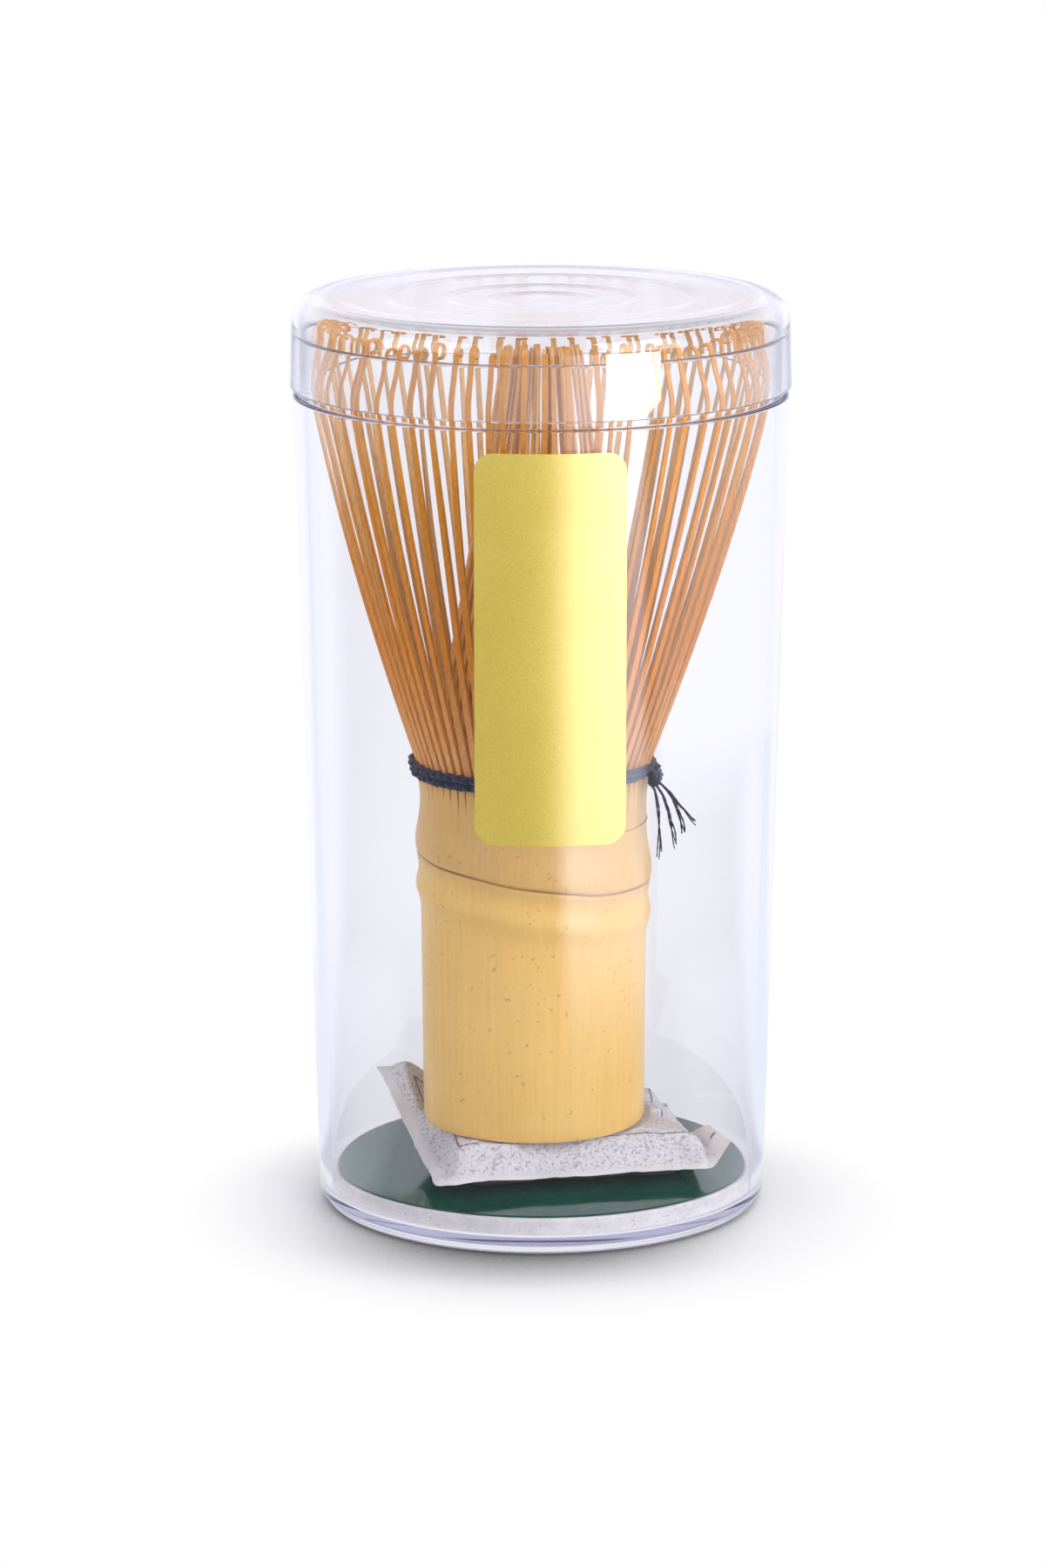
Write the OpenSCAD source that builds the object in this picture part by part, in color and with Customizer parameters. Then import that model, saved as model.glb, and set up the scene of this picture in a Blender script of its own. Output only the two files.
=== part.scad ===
// Bamboo tea whisk standing in its clear storage case, in millimetres, +Z up.
// The origin is the centre of the case's foot ring, on the surface that the case stands on.
// The whisk's own heights are counted from the foot of its handle.

/* [Whisk handle] */
// Outside diameter of the handle at its foot
handle_d = 28.8; // [24:0.1:32]
// Height of the whole culm, up to the face where the tine fans begin
handle_h = 40; // [38:0.5:48]
// Height of the culm's node line above the foot
node_h = 33.6; // [28:0.2:35]
// How far the node ridge stands out from the culm
node_ridge = 0.65; // [0.2:0.05:1.2]
// Depth of the fine groove along the node line
node_groove = 0.35; // [0.1:0.05:0.6]
// Wall of the culm below the node
handle_wall = 4.8; // [3:0.1:7]
// Thickness of the septum that closes the culm at its node
septum_t = 3.2; // [1.5:0.1:5]
// Chamfer round the foot of the handle
foot_chamfer = 0.5; // [0.2:0.1:1.5]
// How far to the right of the case's axis the handle stands
handle_shift = -1; // [-2:0.1:2]

/* [Tines] */
// Number of outer tines
outer_count = 72; // [36:12:84]
// Number of inner tines
inner_count = 48; // [36:12:72]
// Height of the whole whisk
whisk_h = 105.6; // [95:0.2:120]
// Diameter over the spread outer tines
spread_d = 59.4; // [52:0.2:66]
// Wall of the culm where it is split into tines
split_wall = 2.8; // [2.2:0.1:3.4]
// Height of the uncut slice that carries each fan
fan_h = 3; // [2:0.2:5]
// Width of an outer tine at its root
outer_w = 1.0; // [0.6:0.05:1.1]
// Width of an outer tine at its tip
outer_tip_w = 0.7; // [0.4:0.05:0.9]
// Thickness of an outer tine at its root
outer_t = 0.7; // [0.5:0.05:0.9]
// Thickness of an outer tine at its tip
outer_tip_t = 0.3; // [0.2:0.05:0.4]
// Outward slope of the outer tines above the binding
flare = 0.3; // [0.2:0.01:0.36]
// Radius of the curl at an outer tine's tip
curl_r = 1.3; // [0.8:0.1:1.8]
// Length of the straight end after the curl
curl_end = 1.4; // [0.6:0.1:2.5]
// Width of an inner tine at its root
inner_w = 0.8; // [0.4:0.05:0.9]
// Width of an inner tine at its tip
inner_tip_w = 0.34; // [0.15:0.01:0.36]
// Diameter of the gathered inner tines at their tips
bundle_d = 8.8; // [8:0.1:14]
// How far the inner tines stop below the top of the whisk
bundle_drop = 2.6; // [1.5:0.1:8]

/* [Binding thread] */
// Diameter of the binding thread
thread_d = 0.8; // [0.6:0.05:1.2]
// Number of turns round the tines
thread_turns = 2; // [2:1:3]
// Clearance between neighbouring turns of the thread
thread_gap = 0.45; // [0.42:0.01:0.8]
// Height of the middle of the binding above the culm's split face
thread_above = 7; // [6:0.2:10]
// Length of the knot along the thread
knot_l = 2.4; // [1.6:0.1:3.5]
// Angle of the knot round the whisk, from +X
knot_angle = -22; // [-60:1:30]
// Diameter of a frayed thread end
tail_d = 0.5; // [0.3:0.05:0.7]

/* [Case tube] */
// Room between the outer tines and the tube
tine_room = 0.4; // [0.3:0.05:1]
// Wall of the neck that the lid slips over
neck_wall = 0.85; // [0.7:0.05:1.5]
// Height of the neck above the shoulder
neck_h = 7.95; // [6:0.05:12]
// How far the neck steps in from the outside of the tube
neck_step = 0.7; // [0.5:0.05:1.2]
// Inward draft of the tube's outside from the shoulder to the floor
tube_draft = 2.6; // [1.5:0.1:3.2]
// Wall of the tube at the floor
tube_wall = 1.5; // [1.2:0.1:2]
// Radius of the round between the tube's wall and its foot
foot_round = 1.8; // [1:0.1:2.5]
// Height of the ring that the case stands on
foot_ring_h = 0.8; // [0.4:0.1:1.2]
// Width of the ring that the case stands on
foot_ring_w = 2; // [1.2:0.1:3]
// Thickness of the floor of the tube
floor_t = 1.2; // [0.8:0.1:2]

/* [Lid] */
// Radial clearance between the lid's skirt and the neck
lid_fit = 0.1; // [0.05:0.01:0.2]
// Wall of the lid's skirt at its lower edge
lid_wall = 0.95; // [0.8:0.05:1.5]
// Inward draft of the skirt's outside
lid_draft = 0.35; // [0.1:0.05:0.5]
// Thickness of the lid's top
lid_top_t = 1.35; // [1:0.05:2]
// Radius of the round between the lid's skirt and its top
lid_round = 2.4; // [1.5:0.1:3]
// Gap between the lid's lower edge and the shoulder of the tube
lid_gap = 1; // [0.4:0.1:2]
// Room between the tips of the tines and the lid
lid_room = 1; // [0.7:0.1:3]
// Clearance between the ledge inside the lid and the rim of the neck
ledge_gap = 0.1; // [0.05:0.05:0.3]
// Width of the ledge inside the lid
ledge_w = 1; // [0.6:0.1:1.3]
// How far the rim of the neck stops below the underside of the lid
rim_drop = 3.2; // [2.4:0.1:5]
// Distance of the outermost ringed step on the lid from its edge
ring_inset = 4.9; // [4:0.1:7]
// Width of the outer ringed step
outer_ring_w = 6.1; // [4:0.1:7]
// Width of the middle ringed step
middle_ring_w = 7.9; // [5:0.1:8.5]
// Width of the inner ringed step
inner_ring_w = 5.6; // [3:0.1:6]
// Drop of each ringed step towards the middle of the lid
ring_drop = 0.25; // [0.1:0.05:0.3]

/* [Base disc] */
// Thickness of the white board in the bottom of the case
board_t = 2.5; // [1:0.1:3]
// Thickness of the printed card on the board
card_t = 0.25; // [0.2:0.05:0.5]
// Room between the board and the tube
board_room = 0.4; // [0.3:0.1:1]
// Width of the board that shows round the printed card
card_margin = 0.5; // [0.2:0.1:3]

/* [Desiccant sachet] */
// Length of the sachet
sachet_l = 39; // [28:0.5:40]
// Width of the sachet
sachet_w = 33; // [26:0.5:36]
// Height of the sachet under the whisk
sachet_h = 5.8; // [4.5:0.1:8]
// Thickness of the sachet's paper
paper_t = 0.3; // [0.2:0.05:0.4]
// Width of the sealed seam round the sachet, as a share of half its width
seam_share = 0.16; // [0.1:0.01:0.25]
// How far the sides of the sachet are drawn in between its corners
drawn_in = 0.06; // [0:0.01:0.12]
// Turn of the sachet in the case
sachet_turn = 12.7; // [0:0.1:45]
// How far to the right of the case's axis the sachet lies
sachet_shift = 1.9; // [-2:0.1:2.5]
// How far the sachet's back left corner is bent up the wall
corner_lift = 7; // [0:0.2:7]
// Clearance between the sachet and the handle
rest_gap = 0.1; // [0.05:0.05:0.3]

/* [Label] */
// Width of the foil label on the front of the tube
label_w = 18.8; // [12:0.1:24]
// Height of the label
label_h = 49.6; // [40:0.2:56]
// Thickness of the label
label_t = 0.12; // [0.1:0.01:0.3]
// Radius of the label's corners
label_round = 2.4; // [1:0.1:4]
// Distance of the label's top edge below the shoulder of the tube
label_below = 2.8; // [1.5:0.1:8]
// Turn of the label round the tube, from the front
label_turn = 2.2; // [-10:0.1:10]

/* [Hidden] */

clear_plastic = [0.90, 0.91, 0.96, 0.35];
bamboo = [0.87, 0.70, 0.42];
split_bamboo = [0.80, 0.57, 0.30];
inner_bamboo = [0.66, 0.42, 0.20];
thread_navy = [0.07, 0.09, 0.19];
foil_gold = [0.85, 0.76, 0.34];
print_green = [0.05, 0.30, 0.22];
board_white = [0.93, 0.92, 0.91];
paper_white = [0.90, 0.89, 0.88];
bead_white = [0.94, 0.94, 0.92];

round_fn = 96;
arc_steps = 6;
over = 1;

// Heights of the stack inside the case, from the surface that it stands on
floor_top = foot_ring_h + floor_t;
board_top = floor_top + board_t;
card_top = board_top + card_t;
foot_z = card_top + sachet_h + rest_gap;
lid_under = foot_z + whisk_h + lid_room;
lid_z = lid_under + lid_top_t;
rim_z = lid_under - rim_drop;
ledge_z = rim_z + ledge_gap;
shoulder_z = rim_z - neck_h;
lid_low = shoulder_z + lid_gap;

// Radii of the tube and the lid, from the tines outwards
spread_r = spread_d / 2;
neck_in_r = spread_r + tine_room;
neck_r = neck_in_r + neck_wall;
shoulder_r = neck_r + neck_step;
floor_r = shoulder_r - tube_draft;
floor_in_r = floor_r - tube_wall;
lid_in_r = neck_r + lid_fit;
lid_r = lid_in_r + lid_wall;
lid_top_r = lid_r - lid_draft;
board_r = floor_in_r - board_room;
card_r = board_r - card_margin;

// Radius of the tube's outside at a height
function tube_r(z) = floor_r + tube_draft * z / shoulder_z;

// Outside of the culm at a height above its foot: a slow swell, a ridge above the node line, a lesser one
// below it, and a groove along it
handle_r = handle_d / 2;
culm_swell = 0.25;
ridge_above = 1.2;
ridge_spread = 3;
low_ridge_below = 4.6;
low_ridge_spread = 2;
low_ridge_share = 0.7;
groove_spread = 0.45;
function bump(h, centre, spread) = exp(-pow((h - centre) / spread, 2));
function culm_r(h) = handle_r + culm_swell * min(1, h / node_h)
  + node_ridge * bump(h, node_h + ridge_above, ridge_spread)
  + node_ridge * low_ridge_share * bump(h, node_h - low_ridge_below, low_ridge_spread)
  - node_groove * bump(h, node_h, groove_spread);

// Radii of the culm where it is split
bore_r_low = handle_r - handle_wall;
split_r = culm_r(handle_h);
split_mid_r = split_r - split_wall / 2;
split_in_r = split_r - split_wall;
septum_top = node_h + septum_t / 2;

// Points of an arc, in degrees, about a centre
function arc(c, r, from, to, steps = arc_steps) =
  [for (i = [0 : steps]) let (a = from + (to - from) * i / steps) c + r * [cos(a), sin(a)]];

// Case

module case_tube() {
  outside = concat(
    [[floor_r - foot_round - foot_ring_w, 0]],
    arc([tube_r(foot_round) - foot_round, foot_round], foot_round, -90, 0),
    [[shoulder_r, shoulder_z], [neck_r, shoulder_z], [neck_r, rim_z]]);
  inside = [
    [neck_in_r, rim_z], [floor_in_r, floor_top], [0, floor_top],
    [0, foot_ring_h], [floor_r - foot_round - foot_ring_w, foot_ring_h]];
  color(clear_plastic)
    rotate_extrude($fn = round_fn) polygon(concat(outside, inside));
}

module front_label() {
  top = shoulder_z - label_below;
  low = top - label_h;
  skin = [
    [tube_r(low - over), low - over], [tube_r(low - over) + label_t, low - over],
    [tube_r(top + over) + label_t, top + over], [tube_r(top + over), top + over]];
  color(foil_gold)
    rotate([0, 0, label_turn])
      intersection() {
        rotate_extrude($fn = round_fn) polygon(skin);
        translate([0, 0, low]) rotate([90, 0, 0])
          linear_extrude(shoulder_r + label_t + over) round_plate(label_w, label_h, label_round);
      }
}

// Plate with round corners, centred across X and standing on Y = 0
module round_plate(w, h, r) {
  translate([-w / 2, r]) square([w, h - 2 * r]);
  translate([r - w / 2, 0]) square([w - 2 * r, h]);
  for (x = [r - w / 2, w / 2 - r], y = [r, h - r])
    translate([x, y]) circle(r, $fn = round_fn);
}

module base_board() {
  color(board_white)
    translate([0, 0, floor_top]) cylinder(board_t, board_r, board_r, $fn = round_fn);
}

module base_card() {
  color(print_green)
    translate([0, 0, board_top]) cylinder(card_t, card_r, card_r, $fn = round_fn);
}

// Lid

ledge_in_r = lid_in_r - ledge_w;
under_round = min(lid_round - lid_wall, lid_under - ledge_z);
ring_slope = 0.5;
ring_1 = lid_top_r - ring_inset;
ring_2 = ring_1 - outer_ring_w;
ring_3 = ring_2 - middle_ring_w;
ring_4 = ring_3 - inner_ring_w;
ring_radii = [ring_1, ring_2, ring_3, ring_4];
ring_count = len(ring_radii);

// The lid's ringed steps, from the middle out, below a height; the underside follows the outside
function step_points(z) = [for (i = [ring_count - 1 : -1 : 0])
  each [[ring_radii[i] - ring_slope, z - (i + 1) * ring_drop], [ring_radii[i], z - i * ring_drop]]];
function reversed(list) = [for (i = [len(list) - 1 : -1 : 0]) list[i]];

module lid() {
  outside = concat(
    [[0, lid_z - ring_count * ring_drop]], step_points(lid_z),
    arc([lid_top_r - lid_round, lid_z - lid_round], lid_round, 90, 0),
    [[lid_r, lid_low]]);
  inside = concat(
    [[lid_in_r, lid_low], [lid_in_r, ledge_z], [ledge_in_r, ledge_z]],
    arc([ledge_in_r - under_round, lid_under - under_round], under_round, 0, 90),
    reversed(step_points(lid_under)),
    [[0, lid_under - ring_count * ring_drop]]);
  color(clear_plastic)
    rotate_extrude($fn = round_fn) polygon(concat(outside, inside));
}

// Desiccant sachet

grid = 12;
side = grid + 1;
grid_size = side * side;
fill_side = grid - 1;
seam_height = 2;
wall_room = 0.5;
crown_rise = 1.6;
handle_room = 4.4;
handle_slope = 2;
fill_share = 1 - seam_share;

// Place of a grid line across the sachet: the first and last lie on the edge, the rest inside the seam
function share(i) = i == 0 ? -1 : i == grid ? 1 : fill_share * (2 * (i - 1) / (grid - 2) - 1);
// Plan of the sachet: a rectangle with its sides drawn in, its corners held in by the wall
function sachet_plan(u, v) = held_in([sachet_shift, 0] + turned([
  sachet_l / 2 * u * (1 - drawn_in * (1 - v * v)),
  sachet_w / 2 * v * (1 - drawn_in * (1 - u * u))]));
function turned(p) = [
  p.x * cos(sachet_turn) - p.y * sin(sachet_turn),
  p.x * sin(sachet_turn) + p.y * cos(sachet_turn)];
function held_in(p) = p * min(1, (floor_in_r - wall_room) / max(norm(p), over));
// Room under the whisk: flat below its foot, rising outside it
function ceiling(p) = card_top + sachet_h
  + handle_slope * max(0, norm(p - [handle_shift, 0]) - handle_r - handle_room);
// Height of the seam: level at the front, bent up the wall at the back left corner
function corner_bend(u, v) = pow((1 - u) / 2, 3) * pow((1 + v) / 2, 3);
function seam_z(u, v) = min(
  card_top + seam_height + corner_lift * corner_bend(u, v),
  ceiling(sachet_plan(u, v)) - paper_t);
// Fullness of the sachet: none along the seam, most in the middle
function fullness(u, v) = crown(abs(u)) * crown(abs(v));
function crown(a) = a >= fill_share ? 0 : 1 - pow(a / fill_share, 3);
function fill_top(u, v) = min(
  seam_z(u, v) + crown_rise * fullness(u, v) * (sachet_h - seam_height),
  ceiling(sachet_plan(u, v)) - paper_t);
function fill_low(u, v) = max(seam_z(u, v) - 2 * seam_height * fullness(u, v), card_top + paper_t);

// Rows of points over the sachet's fill or under it, raised by an offset
function over_fill(offset, first, last) = [for (j = [first : last], i = [first : last])
  let (u = share(i), v = share(j), p = sachet_plan(u, v)) [p.x, p.y, fill_top(u, v) + offset]];
function under_fill(offset, first, last) = [for (j = [first : last], i = [first : last])
  let (u = share(i), v = share(j), p = sachet_plan(u, v)) [p.x, p.y, fill_low(u, v) + offset]];

// The two triangles of a grid cell, split towards the nearest corner of the grid
function cell(a, b, c, d, even) = even ? [[a, c, b], [a, d, c]] : [[a, d, b], [b, d, c]];
function facing_down(faces) = [for (f = faces) [f[0], f[2], f[1]]];
// Triangles of a square grid of points, seen from above
function grid_faces(n, first) = [for (j = [0 : n - 2], i = [0 : n - 2])
  let (a = first + j * n + i, even = (2 * i < n - 1) == (2 * j < n - 1))
  each cell(a, a + 1, a + 1 + n, a + n, even)];
// Numbers of the points along the edge of a square grid, in order
function edge_ring(n) = concat(
  [for (i = [0 : n - 2]) i], [for (j = [0 : n - 2]) j * n + n - 1],
  [for (i = [n - 1 : -1 : 1]) (n - 1) * n + i], [for (j = [n - 1 : -1 : 1]) j * n]);
// Triangles that close two grids along their edges
function edge_faces(n) = let (ring = edge_ring(n), count = len(ring)) [for (k = [0 : count - 1])
  let (a = ring[k], b = ring[(k + 1) % count]) each cell(a, b, b + n * n, a + n * n, true)];

module sheet(low, high) {
  polyhedron(concat(low, high),
    concat(facing_down(grid_faces(side, 0)), grid_faces(side, grid_size), edge_faces(side)));
}

module sachet_bottom_sheet() {
  color(paper_white) sheet(under_fill(-paper_t, 0, grid), under_fill(0, 0, grid));
}

module sachet_top_sheet() {
  color(paper_white) sheet(over_fill(0, 0, grid), over_fill(paper_t, 0, grid));
}

// The fill is closed along its own edge, where its upper and lower points meet
function on_edge(k, n) = k % n == 0 || k % n == n - 1 || k < n || k >= n * (n - 1);
function joined(k, n) = k >= n * n && on_edge(k - n * n, n) ? k - n * n : k;

module desiccant_fill() {
  n = fill_side;
  lower = facing_down(grid_faces(n, n * n));
  color(bead_white)
    polyhedron(concat(over_fill(0, 1, grid - 1), under_fill(0, 1, grid - 1)),
      concat(grid_faces(n, 0), [for (f = lower) [for (k = f) joined(k, n)]]));
}

// Whisk

module stood() {
  translate([handle_shift, 0, foot_z]) children();
}

module whisk_handle() {
  steps = 2 * ceil(handle_h);
  outside = [for (i = [0 : steps]) let (h = handle_h * i / steps)
    if (h > foot_chamfer) [culm_r(h), h]];
  inside = [
    [split_in_r, handle_h], [split_in_r, septum_top], [0, septum_top],
    [0, septum_top - septum_t], [bore_r_low, septum_top - septum_t], [bore_r_low, 0],
    [handle_r - foot_chamfer, 0], [handle_r, foot_chamfer]];
  color(bamboo)
    stood() rotate_extrude($fn = round_fn) polygon(concat(outside, inside));
}

// Point of a cubic curve
function curve(p, t) = pow(1 - t, 3) * p[0] + 3 * pow(1 - t, 2) * t * p[1]
  + 3 * (1 - t) * t * t * p[2] + pow(t, 3) * p[3];

// Centre line of an outer tine as radius and height: out of its slice, past the binding, out to the
// full spread, in again towards the tip and over in a curl
outer_fans = 12;
inner_fans = 12;
lean = 0.12;
thread_h = handle_h + thread_above;
root_h = handle_h + fan_h / 2;
outer_root_r = (split_r + split_mid_r) / 2;
bind_r = outer_root_r + lean * (thread_h - root_h);
flare_reach = 36;
belly_drop = 9;
belly_reach = 14;
tip_lean = 1.2;
belly_h = whisk_h - belly_drop;
belly_r = spread_r - outer_tip_t / 2;
curl_h = whisk_h - curl_r - outer_tip_t / 2;
curl_start_r = belly_r - tip_lean;
flare_curve = [
  [bind_r, thread_h], [bind_r + flare * flare_reach, thread_h + flare_reach],
  [belly_r, belly_h - belly_reach], [belly_r, belly_h]];
outer_path = concat(
  [[outer_root_r, root_h]],
  [for (t = [0, 0.35, 0.65, 0.85, 1]) curve(flare_curve, t)],
  arc([curl_start_r - curl_r, curl_h], curl_r, 0, 180, 3),
  [[curl_start_r - 2 * curl_r, curl_h - curl_end]]);

// Centre line of an inner tine: straight past the binding, then in to the gathered bundle
inner_root_r = (split_mid_r + split_in_r) / 2;
bundle_h = whisk_h - bundle_drop;
bundle_r = (bundle_d - inner_tip_w) / 2;
gather_reach = 15;
gather_lean = 1.5;
bundle_lean = 1.9;
gather_curve = [
  [inner_root_r, thread_h], [inner_root_r - gather_lean, thread_h + gather_reach],
  [bundle_r + bundle_lean, bundle_h - gather_reach], [bundle_r, bundle_h]];
inner_path = concat(
  [[inner_root_r, root_h]], [for (t = [0, 0.4, 0.75, 1]) curve(gather_curve, t)]);

// Direction along a path at a point, and the normal to it that points outwards
function along(path, i) = let (d = path[min(i + 1, len(path) - 1)] - path[max(i - 1, 0)]) d / norm(d);
function outward(path, i) = let (d = along(path, i)) [d.y, -d.x];
function grade(from, to, i, n) = from + (to - from) * i / (n - 1);
// The tines lean back over the case's axis between the binding and their full spread
function drift(h) = -handle_shift * max(0, min(1, (h - thread_h) / (belly_h - thread_h)));
function placed(rz, across, a) = [
  rz.x * cos(a) - across * sin(a) + drift(rz.y), rz.x * sin(a) + across * cos(a), rz.y];

// Ring of points round a path at a point: four for an outer tine, three for an inner one
function tine_ring(path, i, w, t, a, sides) = let (n = outward(path, i) * t / 2, p = path[i])
  concat(
    [placed(p + n, w / 2, a), placed(p + n, -w / 2, a)],
    sides == 4 ? [placed(p - n, -w / 2, a), placed(p - n, w / 2, a)] : [placed(p - n, 0, a)]);

// Triangles of a tube of rings with closed ends
function tube_faces(rings, sides) = concat(
  [for (k = [1 : sides - 2]) [0, k + 1, k]],
  [for (i = [0 : rings - 2], k = [0 : sides - 1])
    let (a = i * sides + k, b = i * sides + (k + 1) % sides, c = b + sides, d = a + sides)
    each [[a, b, c], [a, c, d]]],
  [for (k = [1 : sides - 2]) let (f = (rings - 1) * sides) [f, f + k, f + k + 1]]);

module tine(path, sides, w, tip_w, t, tip_t, a) {
  n = len(path);
  points = [for (i = [0 : n - 1])
    each tine_ring(path, i, grade(w, tip_w, i, n), grade(t, tip_t, i, n), a, sides)];
  polyhedron(points, tube_faces(n, sides));
}

// Slice of the culm that carries one fan of tines
module slice(r_in, r_out, sweep, a) {
  translate([0, 0, handle_h]) rotate([0, 0, a])
    rotate_extrude(angle = sweep, $fn = round_fn)
      polygon([[r_in, 0], [r_out, 0], [r_out, fan_h], [r_in, fan_h]]);
}

module outer_tines(fan) {
  sweep = 360 / outer_fans;
  pitch = 360 / outer_count;
  color(split_bamboo)
    stood() union() {
      slice(split_mid_r, split_r, sweep, fan * sweep);
      for (a = [pitch / 2 : pitch : sweep])
        tine(outer_path, 4, outer_w, outer_tip_w, outer_t, outer_tip_t, fan * sweep + a);
    }
}

module inner_tines(fan) {
  sweep = 360 / inner_fans;
  pitch = 360 / inner_count;
  color(inner_bamboo)
    stood() union() {
      slice(split_in_r, split_mid_r, sweep, fan * sweep);
      for (a = [pitch / 2 : pitch : sweep])
        tine(inner_path, 3, inner_w, inner_tip_w, inner_w, inner_tip_w, fan * sweep + a);
    }
}

// Binding thread

coil_steps = 24;
coil_sides = 6;
thread_room = 0.15;
knot_room = 0.2;
lift_angle = 40;
coil_rise = thread_turns * (thread_d + thread_gap);
bind_slope = (outer_path[2].x - outer_path[1].x) / (outer_path[2].y - outer_path[1].y);
knot_sweep = knot_l / coil_r(thread_h) * 180 / PI;
knot_r = coil_r(thread_h + coil_rise / 2) + thread_d + knot_room;

// Radius of the thread's middle on the tines at a height
function coil_r(h) = bind_r + (h < thread_h ? lean : bind_slope) * (h - thread_h)
  + (outer_t + thread_d) / 2 + thread_room;
// How far an end of the thread has climbed to the knot, at an angle from that end
function climb(a) = a >= lift_angle ? 0 : (1 + cos(180 * a / lift_angle)) / 2;
coil_angle = 360 * thread_turns - knot_sweep;
function coil_point(a) = let (
  h = thread_h + coil_rise * (a / coil_angle - 0.5),
  up = max(climb(a), climb(coil_angle - a)),
  r = coil_r(h) + (knot_r - coil_r(h)) * up,
  at = knot_angle + knot_sweep / 2 + a)
  [r * cos(at), r * sin(at), h];
coil_count = coil_steps * thread_turns;
coil_turns = [for (i = [1 : coil_count - 1]) coil_point(coil_angle * i / coil_count)];
// The ends run straight into the knot's two faces
function knot_face(end) = let (a = knot_angle + end * knot_sweep / 2, h = thread_h - end * coil_rise / 2)
  [knot_r * cos(a), knot_r * sin(a), h];
function knot_way(end) = let (a = knot_angle + end * knot_sweep / 2) end * [-sin(a), cos(a), 0];
coil_path = concat(
  [knot_face(1), knot_face(1) + thread_d * knot_way(1)], coil_turns,
  [knot_face(-1) + thread_d * knot_way(-1), knot_face(-1)]);

// Least gap between neighbouring turns, measured on points close together along the thread
gap_step = 3;
gap_points = [for (a = [0 : gap_step : coil_angle]) coil_point(a)];
gap_apart = 180 / gap_step;
coil_gap = min([for (i = [0 : len(gap_points) - 1 - gap_apart], j = [i + gap_apart : len(gap_points) - 1])
  norm(gap_points[j] - gap_points[i]) - thread_d]);
echo(str("Least gap of the binding thread to itself: ", coil_gap, " mm"));

// Tube swept along points, each ring set square to the path and turned to a given side
function way(path, i) = let (d = path[min(i + 1, len(path) - 1)] - path[max(i - 1, 0)]) d / norm(d);
function tube_ring(path, i, r, sides, facing) = let (
  d = way(path, i),
  n = cross(d, facing) / norm(cross(d, facing)),
  b = cross(n, d))
  [for (k = [0 : sides - 1]) let (a = 360 * k / sides) path[i] + r * (n * cos(a) + b * sin(a))];

module swept_tube(path, d, sides, facing) {
  rings = len(path);
  points = [for (i = [0 : rings - 1]) each tube_ring(path, i, d / 2, sides, facing)];
  polyhedron(points, tube_faces(rings, sides));
}

module binding_thread() {
  color(thread_navy)
    stood() swept_tube(coil_path, thread_d, coil_sides, [0, 0, 1]);
}

module thread_knot() {
  back = coil_r(thread_h + coil_rise / 2) + thread_d / 2 + thread_room;
  half_h = (coil_rise + thread_d) / 2 + knot_room;
  front = knot_r + thread_d / 2 + knot_room;
  bulge = [for (i = [-arc_steps : arc_steps]) let (a = 90 * i / arc_steps)
    [back + (front - back) * sqrt(cos(a)), thread_h + half_h * sin(a)]];
  color(thread_navy)
    stood() rotate([0, 0, knot_angle - knot_sweep / 2])
      rotate_extrude(angle = knot_sweep, $fn = round_fn) polygon(bulge);
}

// Routes of the frayed ends from the middle of the knot: outwards, round the whisk and up
tail_routes = [
  [[0, 0.3, -1], [1, 0.3, -1.4], [2, 0.3, -2.2], [3, 0.2, -3.3],
    [4, 0.1, -4.6], [4.8, 0, -5.8], [5.4, 0, -6.8]],
  [[0, -0.4, -1], [0.9, -0.4, -1.8], [1.5, -0.4, -3], [1.8, -0.4, -4.4],
    [2, -0.4, -6], [2.2, -0.3, -7.8], [2.4, -0.2, -10]],
  [[0, -0.9, -1.2], [0.6, -1, -2], [0.8, -1.1, -3.2], [0.8, -1.2, -4.8],
    [0.7, -1.3, -6.6], [0.6, -1.4, -8.8], [0.6, -1.5, -11.2]],
  [[0, 0.9, -1], [0.9, 0.9, -1.6], [1.8, 1, -2.6], [2.6, 1.1, -4],
    [3.2, 1.2, -5.6], [3.6, 1.3, -7.2], [3.8, 1.3, -8.6]]
];
tail_sides = 8;

module thread_tails() {
  color(thread_navy)
    stood() rotate([0, 0, knot_angle]) translate([knot_r, 0, thread_h])
      for (route = tail_routes)
        swept_tube(route, tail_d, tail_sides, [0, 1, 0]);
}

// Name of one fan of tines, with its number in two figures
function fan_name(row, fan) = str(row, fan < 9 ? "0" : "", fan + 1);

case_tube();
front_label();
base_board();
base_card();
sachet_bottom_sheet();
desiccant_fill();
sachet_top_sheet();
whisk_handle();
binding_thread();
thread_knot();
thread_tails();
lid();
for (fan = [0 : outer_fans - 1])
  outer_tines(fan);
for (fan = [0 : inner_fans - 1])
  inner_tines(fan);
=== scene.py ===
# %% [markdown]
# # A bamboo tea whisk in its clear case
# The whisk stands on a sachet of drying beads, on a printed disc, inside a clear tube with a pull-off lid.
# The frame holds every piece at its real size and place. This lesson gives each one a finer surface, worked
# out as arrays of points, and a finish made of shader nodes. Lengths are written in millimetres, and turned
# into metres in one place, where a mesh is made.

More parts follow.
